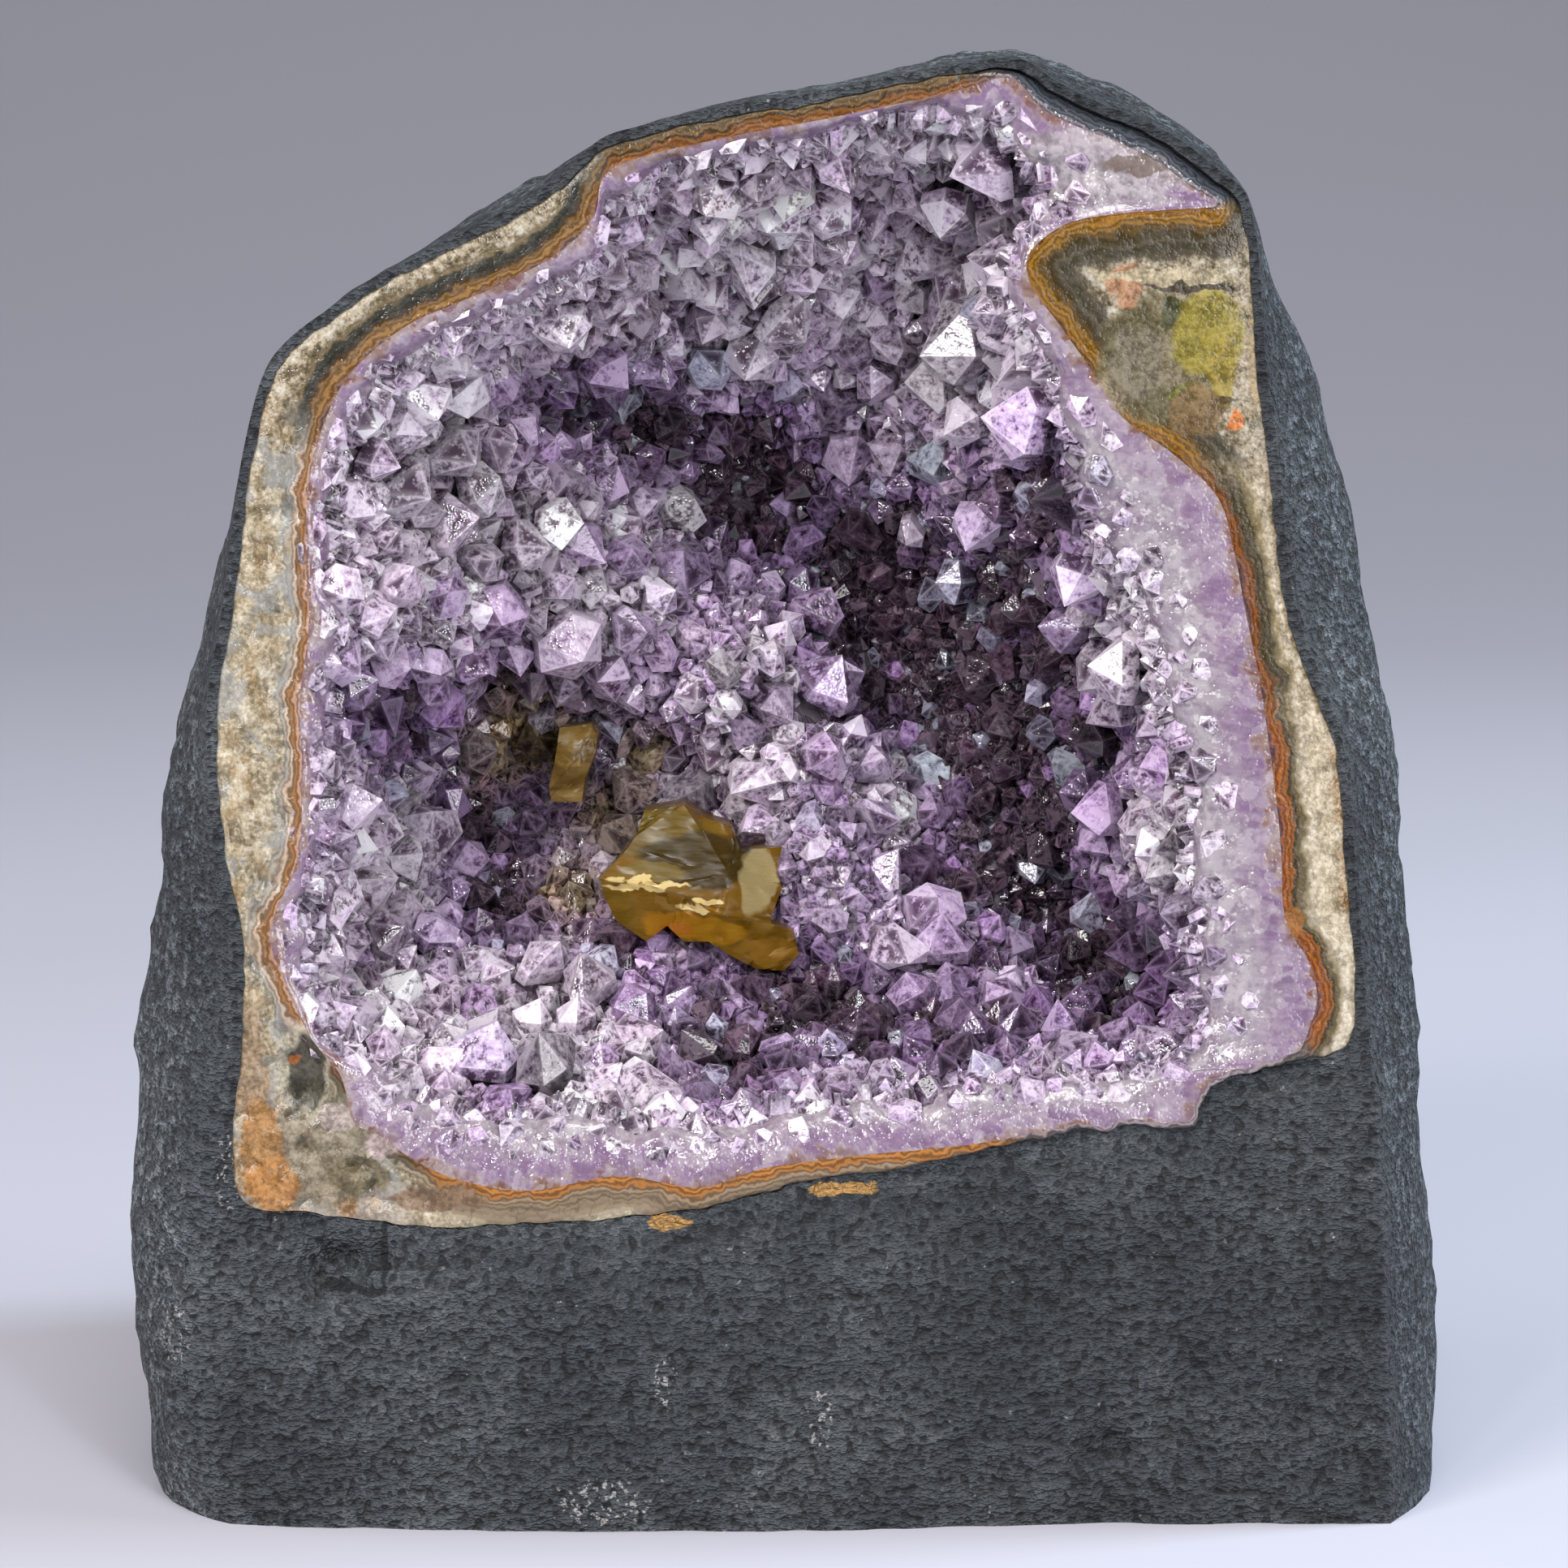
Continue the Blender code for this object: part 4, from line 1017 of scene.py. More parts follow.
def weathered(points, amount):
    """The points in metres moved out from the nodule's heart or in towards it."""
    at = points / MM
    size, height, place = SKIN_LEDGES
    ledges = (1 - np.abs(noise_at(at, size, place))) ** 4 * height
    moved = (relief(at, SKIN_LUMPS) + ledges + pitting(at, SKIN_PITS, SKIN_PIT_LIMIT)) * amount
    away = unit(points - face_to_part(*NODULE_CENTRE, NODULE_DEPTH / 2))
    return points + away * moved[..., None] * MM


def front_relief(x, s):
    """How far the rough front lies behind its swell: dents, wrinkles that run across it and small lumps."""
    flat = np.stack([x / WRINKLE_STRETCH, s, np.zeros_like(x)], axis=-1)
    even = np.stack([x, s, np.zeros_like(x)], axis=-1)
    depth = relief(flat, FRONT_WRINKLES) + relief(even, FRONT_LUMPS)
    for cx, cs, across, up, amount in FRONT_DENTS:
        depth = depth + amount * np.exp(-((((x - cx) / across) ** 2 + ((s - cs) / up) ** 2) ** 1.5))
    return depth


FRONT_RECESS = 0.9  # how far the front lies behind the rim where the two meet, in mm
# Where the front changes, as ranges in mm: by distance from the rim, by distance from its sawn edge, and by
# its own width
RELIEF_GROWS = (0.0, 5.0)
RELIEF_ENDS = (-0.5, 2.0)
RECESS_STARTS = (0.0, 0.5)
RECESS_ENDS = (6.0, 1.0)
RECESS_NEEDS_WIDTH = (4.0, 12.0)
# The sawn edge is worn round towards the left and the foot, and the weathering grows behind it
WORN_ACROSS = (-40.0, -52.0)
WORN_UP = (60.0, 35.0)
WEATHERING_GROWS = (1.0, 14.0)


def body_outlines(rim):
    """The sawn edge of the front and the widest outline of the nodule, a point for each of the rim's."""
    middle = np.array(CAVITY_CENTRE)
    offset = rim.outer - middle
    angles = np.arctan2(offset[:, 1], offset[:, 0])
    followed = np.array([row[:2] for row in RIM[:POLISHED_ROWS_FOLLOWED]])
    pushed = followed + unit(followed - middle) * BASALT_EDGE
    curves = (smooth_closed(np.vstack([pushed, FRONT_FOOT_EDGE])), smooth_closed(NODULE_EDGE))
    return [middle + unit(offset) * radius_at(curve, angles)[:, None] for curve in curves]


def front_rings(rim, front):
    """The rough front, from the rim out to its sawn edge."""
    rings = []
    width = np.linalg.norm(front - rim.outer, axis=1)
    for k in range(1, FRONT_RINGS + 1):
        share = k / FRONT_RINGS
        x, s = (rim.outer + (front - rim.outer) * share).T
        from_rind = width * share
        to_edge = width * (1 - share)
        settled = smooth_step(*RELIEF_GROWS, from_rind) * smooth_step(*RELIEF_ENDS, to_edge)
        recess = FRONT_RECESS * smooth_step(*RECESS_STARTS, from_rind) * smooth_step(*RECESS_ENDS, from_rind)
        recess = recess * smooth_step(*RECESS_NEEDS_WIDTH, width)
        rings.append(face_to_part(x, s, recess + front_relief(x, s) * settled - front_swell(x, s)))
    return rings


def edge_rings(front, nodule):
    """From the sawn edge back to where the nodule is widest."""
    rings = []
    wear = smooth_step(*WORN_ACROSS, front[:, 0]) * smooth_step(*WORN_UP, front[:, 1])
    for depth in EDGE_DEPTHS:
        u = depth / WIDEST_DEPTH
        crisp = math.sin(u * math.pi / 2)
        worn = math.sqrt(1 - (1 - u) ** 2)
        t = (crisp + (worn - crisp) * wear)[:, None]
        x, s = (front + (nodule - front) * t).T
        swell = front_swell(*front.T) * (1 - t[:, 0])
        points = face_to_part(x, s, depth - swell)
        rings.append(weathered(points, smooth_step(*WEATHERING_GROWS, depth)))
    return rings


def back_rings(nodule):
    """From where the nodule is widest to the middle of its back, ever rounder."""
    rings = []
    centre = np.array(NODULE_CENTRE)
    reach = nodule - centre
    rounded = unit(reach) * NODULE_MEAN_RADIUS
    for k in range(1, BACK_RINGS):
        scale = math.cos(math.radians(90) * k / BACK_RINGS)
        depth = WIDEST_DEPTH + (NODULE_DEPTH - WIDEST_DEPTH) * (1 - scale**2) ** (1 / BACK_ROUNDNESS)
        x, s = (centre + (reach * scale + rounded * (1 - scale)) * scale).T
        rings.append(weathered(face_to_part(x, s, depth), 1.0))
    return rings


def make_body(rim):
    """The basalt, ring by ring: its seat for the hollow, the front, the edge and the back."""
    front, nodule = body_outlines(rim)
    offset = rim.outer - np.array(CAVITY_CENTRE)
    seat = [
        face_to_part(*bowl(offset, share, SEAT_DEPTH, LOBES_IN_SEAT, SEAT_EDGE))
        for share in bowl_shares(SEAT_RINGS)
    ]
    rings = seat + front_rings(rim, front) + edge_rings(front, nodule) + back_rings(nodule)
    seat_middle = face_to_part(*CAVITY_CENTRE, SEAT_DEPTH + lobe_depth(*CAVITY_CENTRE) * LOBES_IN_SEAT)
    back_middle = weathered(face_to_part(*NODULE_CENTRE, NODULE_DEPTH)[None], 1.0)
    obj = loft("basalt_body", rings, seat_middle, back_middle)
    outwards(obj)
    saw_base(obj)
    at = np.array([vertex.co[:] for vertex in obj.data.vertices])
    give_attribute(obj, "depth", part_to_face(at)[2])
    obj.data.transform(Matrix.Translation(SHIFT))
    return obj


def saw_base(obj):
    """Saws the shape flat where it stands, with the operators of edit mode."""
    select_only(obj)
    bpy.ops.object.mode_set(mode="EDIT")
    bpy.ops.mesh.select_all(action="SELECT")
    bpy.ops.mesh.bisect(plane_co=(0, 0, 0), plane_no=(0, 0, 1), clear_inner=True, use_fill=True)
    bpy.ops.object.mode_set(mode="OBJECT")


# The rim and the lip

RIND_BEHIND = (1.0, 0.5, 0.0)  # shares of the width at which the rings behind it lie
RIND_POCKET = (-45.6, 43.2, 2.0, 3.8, 1.3)  # x, s, reach across and up, and depth of a pocket in it, in mm
ROUNDED = 0.25  # how far its outer edge is rounded
TIP_ROUNDED = 1.3  # and how much further at the upper right, in mm
PITTED = 0.12  # how much of its pits shows where it is sound
CRUMBLY_PITTED = 1.4  # and how much more where it crumbles


def make_rind(rim):
    """The agate round the hollow: polished in front and closed behind."""
    rings = []
    shares = np.linspace(0, 1, RIND_RINGS)
    crumbly = rim.kinds[:, [AGATES.index("left"), AGATES.index("corner")]].sum(axis=1)
    for share in shares:
        x, s = (rim.inner + (rim.outer - rim.inner) * share).T
        flat = np.stack([x, s, np.zeros_like(x)], axis=-1)
        pits = pitting(flat, RIND_PITS, RIND_PIT_LIMIT) + relief(flat, RIND_LUMPS)
        inside = smooth_step(0.0, 0.15, share) * smooth_step(1.0, 0.9, share)
        cx, cs, across, up, depth = RIND_POCKET
        pocket = np.exp(-((((x - cx) / across) ** 2 + ((s - cs) / up) ** 2) ** 2)) * depth * inside
        rolled = ROUNDED * share**12 + TIP_ROUNDED * share**2.5 * rim.kinds[:, AGATES.index("tip")]
        pitted = pits * inside * (PITTED + CRUMBLY_PITTED * crumbly)
        rings.append(in_place(x, s, rolled + pocket + pitted))
    for share in RIND_BEHIND:
        x, s = (rim.inner + (rim.outer - rim.inner) * share).T
        rings.append(in_place(x, s, RIND_DEEP))
    obj = loft("agate_rim", rings, loop=True)
    outwards(obj)
    flat = []
    for share in (*shares, *RIND_BEHIND):
        points = rim.inner + (rim.outer - rim.inner) * share
        gaps = np.linalg.norm(points[:, None] - rim.inner[None], axis=2)
        flat.append(gaps.min(axis=1))
    give_attribute(obj, "from_quartz", flat)
    for k, name in enumerate(AGATES):
        give_attribute(obj, name, np.tile(rim.kinds[:, k], len(flat)))
    smooth(obj, 30)
    return obj


UNSEEN_FROM_RIND = 40.0  # the distance from the rind that stands for all of the crust's hidden back


def make_crust(rim):
    """The quartz under the crystals, with its polished lip."""
    offset = rim.crystal - np.array(CAVITY_CENTRE)
    shares = bowl_shares(BED_RINGS)
    rings = [np.stack(bowl(offset, share, HOLLOW_DEPTH, 1.0, LIP_ROLL), axis=-1) for share in shares]
    for k in range(1, LIP_RINGS + 1):
        t = math.cos(math.radians(90) * k / LIP_RINGS)
        x, s = (rim.inner + (rim.crystal - rim.inner) * t).T
        rings.append(np.stack([x, s, np.full_like(x, LIP_ROLL * (1 - math.sqrt(1 - t**2)))], axis=-1))
    rings = np.array(rings)
    away = np.arange(len(rings))[:, None] - BED_RINGS
    rings[..., 2] += relief(rings, CRUST_LUMPS) * smooth_step(LIP_RINGS * 0.8, 0.0, away)
    steps = np.linalg.norm(np.diff(rings[::-1], axis=0), axis=2)
    from_rind = np.vstack([np.zeros(AROUND), np.cumsum(steps, axis=0)])[::-1]

    behind = []
    for share in shares[::-2]:
        x, s, d = bowl(offset, share, HOLLOW_DEPTH, 1.0, LIP_ROLL)
        out = (rim.inner - rim.crystal).T * share
        behind.append(np.stack([x + out[0], s + out[1], d + CRUST_BACK], axis=-1))
    every = np.concatenate([rings, np.array(behind)])
    floor = HOLLOW_DEPTH + float(lobe_depth(*CAVITY_CENTRE))
    poles = [in_place(*CAVITY_CENTRE, depth) for depth in (floor, floor + CRUST_BACK)]
    obj = loft("quartz_crust", in_place(*np.moveaxis(every, -1, 0)), *poles)
    outwards(obj)
    unseen = np.full(len(behind) * AROUND, UNSEEN_FROM_RIND)
    give_attribute(obj, "from_rind", [*from_rind.ravel(), *unseen, HOLLOW_DEPTH, HOLLOW_DEPTH])
    give_attribute(obj, "along", [*np.tile(rim.along, len(every)), 0.0, 0.0])
    smooth(obj, 50)
    return obj


# The crystals

CRYSTAL_SEED = 5
CRYSTAL_DARTS = 60000
LIP_DARTS = 2600
TIP_HEIGHT = 0.9  # of a crystal's radius
TOWARDS_FACE = 0.4  # how much the crystals lean out of the hollow
SUNK = 1.5
ROOT_DEPTH = 1.7
CUT_FLUSH_AT = 0.15
CLEAR_OF_AGATE = 0.8  # how far inside the agate's outer edge every crystal stays, in mm
# The sizes of the scattered crystals and how far apart each size keeps, as shares of their radius
CRYSTAL_SIZES = ((1.0, 1.6), (0.6, 1.3), (0.4, 1.1))
LANDMARK_ROOM = 1.8  # the same for the large ones
LIP_ROOM = 1.5  # and for those that the polish cut through
ROOM_KEPT = 0.75  # how much of the room of the larger crystals holds for the next size
# Their typical radius, how much larger it is in pale places and smaller in the depth, and what it is at the
# edge of the hollow, in mm
TYPICAL_RADIUS = 2.5
PALE_LARGER = 0.7
DEEP_SMALLER = 0.7
EDGE_RADIUS = 1.3
LIP_RADII = (1.0, 2.0)
# What chance does to each crystal: spreads about the middle, and ranges
RADIUS_SPREAD = 0.2
LEAN_SPREAD = 0.32
SHOULDER_SPREAD = 0.1
TIP_SPREAD = 0.16
MOST_TWIST = math.radians(16)
TIP_HEIGHTS = (0.8, 1.15)
FLATNESS = (0.72, 1.0)
RISE = (0.1, 1.3)
SAWN_LOWER = (0.0, 0.3)
BRIGHTNESS_SPREAD = 0.34
LANDMARK_BRIGHTNESS = (0.9, 1.1)
GREENNESS = (0.92, 1.08)
# How dark a crystal is, 0 to 1: in front, in the depth, in dark places, in pale ones and by chance. The
# darkening in the depth and in the dark places is painted shade, and the paling is partly painted light.
FRONT_DARK = 0.2
DEPTH_DARKER = 0.26
PLACE_DARKER = 0.8
PLACE_PALER = 0.55
DARK_SPREAD = 0.14
# Painted reflection: the bluish grey crystals in dark places stand in for the bluish glints that show there.
STEEL_SHARE = 0.09  # of the crystals, which are bluish grey

# Colours of the crystals
MILKY = (250, 244, 240)
WHITE = (224, 216, 221)
PALE = (198, 183, 197)
LILAC = (168, 144, 176)
VIOLET = (122, 96, 134)
SMOKY = (66, 46, 60)
# Painted reflection: the bluish grey colour of some crystals stands in for bluish glints.
STEEL = (164, 166, 184)
STAINED = (150, 128, 84)
# Large crystals that stand out: x and s as seen on the face, radius in mm, colour
LANDMARKS = (
    (-2.8, 126.9, 3.4, MILKY), (-6.6, 127.6, 2.6, MILKY), (0.8, 127.8, 2.6, MILKY),
    (-4.8, 124.6, 2.2, MILKY), (-20.4, 116.4, 3.2, WHITE), (-24.4, 114.2, 2.2, PALE),
    (-18.6, 114.0, 2.2, PALE), (-34.8, 108.2, 3.0, WHITE), (-27.0, 109.0, 2.9, LILAC),
    (-31.0, 98.6, 3.1, WHITE), (-17.0, 98.2, 2.5, LILAC), (-11.2, 95.8, 3.0, WHITE),
    (-20.4, 94.0, 3.1, LILAC), (-26.6, 88.2, 3.2, LILAC), (-32.4, 88.4, 2.5, LILAC),
    (-38.4, 93.6, 2.2, PALE), (-15.0, 91.2, 2.6, LILAC), (-15.0, 86.0, 2.6, LILAC),
    (8.8, 118.4, 2.6, LILAC), (14.2, 101.6, 3.0, STEEL), (12.2, 95.8, 2.0, PALE),
    (19.2, 115.8, 2.2, STEEL), (-8.2, 110.4, 2.6, STEEL), (31.0, 89.6, 2.6, LILAC),
    (1.4, 85.0, 3.0, LILAC), (-4.0, 76.0, 2.8, LILAC), (-23.6, 52.0, 3.2, PALE),
    (-29.0, 49.6, 2.6, LILAC), (-39.0, 49.6, 1.8, PALE), (14.4, 71.8, 2.4, STEEL),
    (9.6, 61.8, 2.8, LILAC), (-30.0, 63.4, 2.8, LILAC), (-38.0, 69.6, 2.2, STEEL),
    (12.0, 127.6, 2.4, PALE), (6.0, 125.8, 2.6, LILAC), (-38.4, 44.8, 2.0, PALE),
    (17.6, 90.0, 2.6, STEEL), (33.6, 98.8, 2.2, LILAC), (30.0, 58.4, 2.4, STEEL),
    (20.2, 49.6, 2.6, LILAC), (-17.4, 44.4, 2.2, LILAC), (36.0, 63.0, 2.2, PALE),
    (-22.6, 78.6, 1.8, PALE), (-8.8, 76.4, 2.2, LILAC),
)
# Darker, paler and stained places, as seen on the face: x, s, radius. The darker places are painted shade in
# the pockets and deep parts of the hollow; the paler ones are partly pale crystals and partly painted light
# on the masses that stand forward.
DARK_PLACES = (
    (-2.8, 99.7, 8.0), (-20.5, 107.6, 5.0), (-12.5, 105.5, 5.0), (8.5, 92.0, 7.5), (6.0, 82.0, 6.0),
    (14.2, 84.0, 8.5), (19.5, 75.0, 8.0), (31.6, 52.4, 8.0), (-25.5, 80.2, 4.5), (-38.8, 78.6, 5.0),
    (-26.0, 58.8, 4.5), (-31.0, 66.5, 4.0), (4.5, 50.0, 4.0), (-16.0, 55.0, 3.6), (26.0, 69.0, 6.0),
    (15.6, 60.0, 4.0), (21.0, 64.0, 5.0), (-23.0, 75.0, 3.0), (23.0, 90.0, 6.0), (-27.0, 42.0, 3.0),
    (1.5, 49.5, 7.0), (9.0, 48.5, 6.0), (-9.0, 47.5, 5.0), (-4.0, 44.0, 5.0), (17.0, 47.5, 6.0),
    (30.0, 76.0, 4.0), (26.0, 82.0, 5.0), (18.0, 54.0, 5.0), (24.0, 60.0, 5.0), (25.0, 98.0, 5.5),
)
PALE_PLACES = (
    (-33.0, 95.0, 12.0), (-20.0, 90.0, 9.0), (-3.0, 127.0, 9.0), (-21.0, 115.0, 7.0), (-34.0, 107.0, 7.0),
    (-24.0, 50.0, 7.0), (-36.0, 48.0, 6.0), (0.0, 80.0, 6.0), (14.0, 54.0, 6.0), (35.0, 84.0, 6.0),
    (37.0, 66.0, 5.0), (-16.0, 43.0, 5.0), (12.0, 129.0, 8.0), (-3.0, 72.0, 6.0), (6.5, 118.0, 11.0),
    (-7.0, 114.0, 7.0), (17.0, 112.0, 8.0), (7.0, 104.0, 5.0), (-10.0, 68.0, 5.0), (-36.0, 66.0, 5.0),
    (-2.0, 128.0, 8.0), (-38.0, 60.0, 5.0), (20.0, 52.0, 3.0), (-14.0, 46.0, 5.0), (33.0, 88.0, 5.0),
    (10.0, 70.0, 4.0), (-30.0, 45.0, 6.0), (-42.0, 90.0, 5.0), (-12.0, 122.0, 5.0),
)
STAINED_PLACES = (
    (-24.5, 76.5, 5.0), (-16.5, 67.5, 4.0), (-13.0, 74.0, 3.0), (-27.5, 74.0, 4.0), (-20.0, 60.0, 3.5),
)


def sixths(corners):
    """Which sixth of a turn each corner of a crystal lies in."""
    return np.floor(np.arctan2(corners[:, 1], corners[:, 0]) / math.radians(60)).astype(int)


def crystal_parts(corners):
    """Which corners of a crystal lie on its edges, round its shoulder and at its tip."""
    edge = np.hypot(corners[:, 0], corners[:, 1]) > 0.5
    return edge, edge & (np.abs(corners[:, 2]) < 1e-4), corners[:, 2] > 0.5


def crystal_shape():
    """One crystal: a six-sided root under a six-sided point. Returns its corners, its triangles, and for
    each corner of a triangle how far it is from the ridges beside it and from the shoulder, 0 to 1."""
    bpy.ops.object.select_all(action="DESELECT")
    bpy.ops.mesh.primitive_cylinder_add(vertices=6, radius=1, depth=SUNK, location=(0, 0, -SUNK / 2))
    obj = bpy.context.object
    bpy.ops.object.mode_set(mode="EDIT")
    shape = bmesh.from_edit_mesh(obj.data)
    for face in shape.faces:
        face.select_set(face.normal.z > 0.5)
    bmesh.update_edit_mesh(obj.data)
    bpy.ops.mesh.poke()
    shape = bmesh.from_edit_mesh(obj.data)
    for vertex in shape.verts:
        if vertex.co.xy.length < 0.1 and vertex.co.z > SUNK / 2 - 0.1:
            vertex.co.z += TIP_HEIGHT
    bmesh.ops.triangulate(shape, faces=shape.faces)
    bmesh.update_edit_mesh(obj.data)
    bpy.ops.object.mode_set(mode="OBJECT")
    corners = np.array([v.co[:] for v in obj.data.vertices])
    corners[:, 2] -= SUNK / 2
    triangles = np.array([p.vertices[:] for p in obj.data.polygons])
    bpy.data.objects.remove(obj)
    sixth = sixths(corners)
    ridges = np.ones((*triangles.shape, 3))
    for k, triangle in enumerate(triangles):
        at = corners[triangle]
        on_edge = np.hypot(at[:, 0], at[:, 1]) > 0.5
        if at[:, 2].max() < -0.1:
            continue
        first, second = sorted(set(sixth[triangle][on_edge].tolist()))
        ridges[k, :, 0] = on_edge & (sixth[triangle] == first)
        ridges[k, :, 1] = on_edge & (sixth[triangle] == second)
        ridges[k, :, 2] = np.abs(at[:, 2]) > 0.1
    return corners, triangles, ridges


def facet_number(at):
    """Which of the thirteen facets of a crystal a triangle belongs to."""
    middle = at.mean(axis=0)
    side = int(np.floor(np.arctan2(middle[1], middle[0]) / math.radians(60) + 0.5)) % 6
    if at[:, 2].max() < -0.1:
        return 12
    return side + (6 if at[:, 2].min() < -0.1 else 0)


def wall_frame(rim, u, v):
    """Feet on the wall, in metres, and the directions that point into the hollow there."""
    step = 0.012
    foot = face_to_part(*wall(rim, u, v))
    across = face_to_part(*wall(rim, u + step, v)) - face_to_part(*wall(rim, u - step, v))
    up = face_to_part(*wall(rim, u, v + step)) - face_to_part(*wall(rim, u, v - step))
    normal = unit(np.cross(across, up))
    normal[normal @ INTO_STONE > 0] *= -1
    return foot, normal


def scatter(feet, spacing, taken, room):
    """Indices of the feet that keep their distance from each other and from those taken, first come first
    kept. Only those in the same cell and the cells round it are compared."""
    cell = max(spacing.max(), room.max(initial=0))
    cells = {}

    def home(point):
        return tuple(int(c // cell) for c in point)

    for point, own in zip(taken.tolist(), room.tolist()):
        cells.setdefault(home(point), []).append((point, own))
    kept = []
    for k, (point, own) in enumerate(zip(feet.tolist(), spacing.tolist())):
        x, y, z = home(point)
        near = itertools.chain.from_iterable(
            cells.get((x + dx, y + dy, z + dz), ()) for dx, dy, dz in itertools.product((-1, 0, 1), repeat=3)
        )
        if all(math.dist(point, other) >= (own + its) / 2 for other, its in near):
            kept.append(k)
            cells.setdefault((x, y, z), []).append((point, own))
    return np.array(kept, int)


def places_mask(places, x, s):
    mask = np.zeros_like(x)
    for cx, cs, radius in places:
        mask = np.maximum(mask, np.exp(-(((x - cx) ** 2 + (s - cs) ** 2) / radius**2) ** 1.5))
    return mask


def linear(colour):
    return np.array(srgb(*colour)[:3])


def tints(x, s, d, share, rng):
    """The colour of crystals at places of the wall, from pale at the front to smoky in the depth, which is
    painted shade, as are the darker places in the pockets; the paler places are partly pale crystals and
    partly painted light on masses that stand forward.
    """
    seen = seen_on_face(x, s, d)
    dark = places_mask(DARK_PLACES, *seen)
    pale = places_mask(PALE_PLACES, *seen)
    stained = places_mask(STAINED_PLACES, *seen)
    count = len(x)
    # Painted shade: darker with depth below the face and in the dark places; painted light: lighter in the
    # pale places.
    deep = FRONT_DARK + DEPTH_DARKER * smooth_step(8.0, HOLLOW_DEPTH, d) + dark * PLACE_DARKER
    deep = np.clip(deep - pale * PLACE_PALER + rng.normal(0, DARK_SPREAD, count), 0, 1)
    stops = np.array([0.0, 0.35, 0.7, 1.0])
    colours = np.array([linear(PALE), linear(LILAC), linear(VIOLET), linear(SMOKY) * 0.8])
    mixed_in = np.stack([np.interp(deep, stops, colours[:, k]) for k in range(3)], axis=1)
    # Painted reflection: some crystals in dark places turn bluish grey, for the bluish glints there.
    steel = (rng.random(count) < STEEL_SHARE)[:, None] * smooth_step(0.2, 0.5, deep)[:, None]
    lip = smooth_step(0.86, 1.0, share)[:, None]
    stain = np.clip(stained, 0, 1)[:, None]
    for colour, amount in ((STEEL, 0.6 * steel), (PALE, 0.35 * lip), (STAINED, 0.85 * stain)):
        mixed_in = mixed_in * (1 - amount) + linear(colour) * amount
    return mixed_in


def lip_crystals(rim, rng):
    """Crystals that the polished face cut through, over the inner part of the lip: feet, directions, radii
    and colours."""
    turn = rng.uniform(0, AROUND, LIP_DARTS)
    t = rng.random(LIP_DARTS)
    steps = np.arange(AROUND)
    inner, crystal = (
        np.stack([np.interp(turn, steps, edge[:, k], period=AROUND) for k in (0, 1)], axis=1)
        for edge in (rim.inner, rim.crystal)
    )
    width = np.linalg.norm(inner - crystal, axis=1)
    kept = (width * (1 - t) > 0.7) & (t > np.clip((width - 2.5) / 9.0, 0.0, 0.6))
    inner, crystal, t = inner[kept], crystal[kept], t[kept]
    x, s = (inner + (crystal - inner) * t[:, None]).T
    d = LIP_ROLL * (1 - np.sqrt(1 - t**2)) + 0.3
    feet = face_to_part(x, s, d)
    radius = rng.uniform(*LIP_RADII, len(t))
    apart = scatter(feet / MM, radius * LIP_ROOM, np.empty((0, 3)), np.empty(0))
    towards = unit(np.array(CAVITY_CENTRE) - np.stack([x, s], axis=1))
    normal = unit(face_to_part(*(towards * t[:, None]).T, np.full(len(t), -1.0)))
    colours = tints(x, s, d, np.ones(len(t)), rng)
    return feet[apart], normal[apart], radius[apart], colours[apart]


def landmark_places(rim):
    """Where each large crystal stands, on the unit disc of the wall."""
    grid = np.linspace(-1, 1, 160)
    u, v = (g.ravel() for g in np.meshgrid(grid, grid))
    inside = np.hypot(u, v) < 0.99
    u, v = u[inside], v[inside]
    seen = np.stack(seen_on_face(*wall(rim, u, v)), axis=1)
    nearest = [int(np.argmin(((seen - np.array(row[:2])) ** 2).sum(axis=1))) for row in LANDMARKS]
    return u[nearest], v[nearest]


def place_crystals(rim, rng):
    """Where the crystals stand on the unit disc of the wall, and their radii: first the large ones, and then
    ever smaller ones in the gaps."""
    u, v = landmark_places(rim)
    places = [np.stack([u, v], axis=1)]
    radii = [np.array([row[2] for row in LANDMARKS])]
    taken = wall_frame(rim, u, v)[0] / MM
    room = radii[0] * LANDMARK_ROOM

    turn = rng.random(CRYSTAL_DARTS) * math.tau
    area = rng.random(CRYSTAL_DARTS)
    share = np.sqrt(area / (2 - area))
    u, v = share * np.cos(turn), share * np.sin(turn)
    x, s, d = wall(rim, u, v)
    feet = wall_frame(rim, u, v)[0] / MM
    pale = places_mask(PALE_PLACES, *seen_on_face(x, s, d))
    deep = smooth_step(14.0, 40.0, d) * (1 - pale)
    typical = TYPICAL_RADIUS + PALE_LARGER * pale - DEEP_SMALLER * deep
    typical = typical + (EDGE_RADIUS - typical) * smooth_step(0.82, 0.98, share)
    for size, tightness in CRYSTAL_SIZES:
        radius = typical * size * np.exp(rng.normal(0, RADIUS_SPREAD, CRYSTAL_DARTS))
        kept = scatter(feet, radius * tightness, taken, room)
        places.append(np.stack([u[kept], v[kept]], axis=1))
        radii.append(radius[kept])
        taken = np.vstack([taken, feet[kept]])
        room = np.concatenate([room, radius[kept] * tightness]) * ROOM_KEPT
    return np.vstack(places).T, np.concatenate(radii)


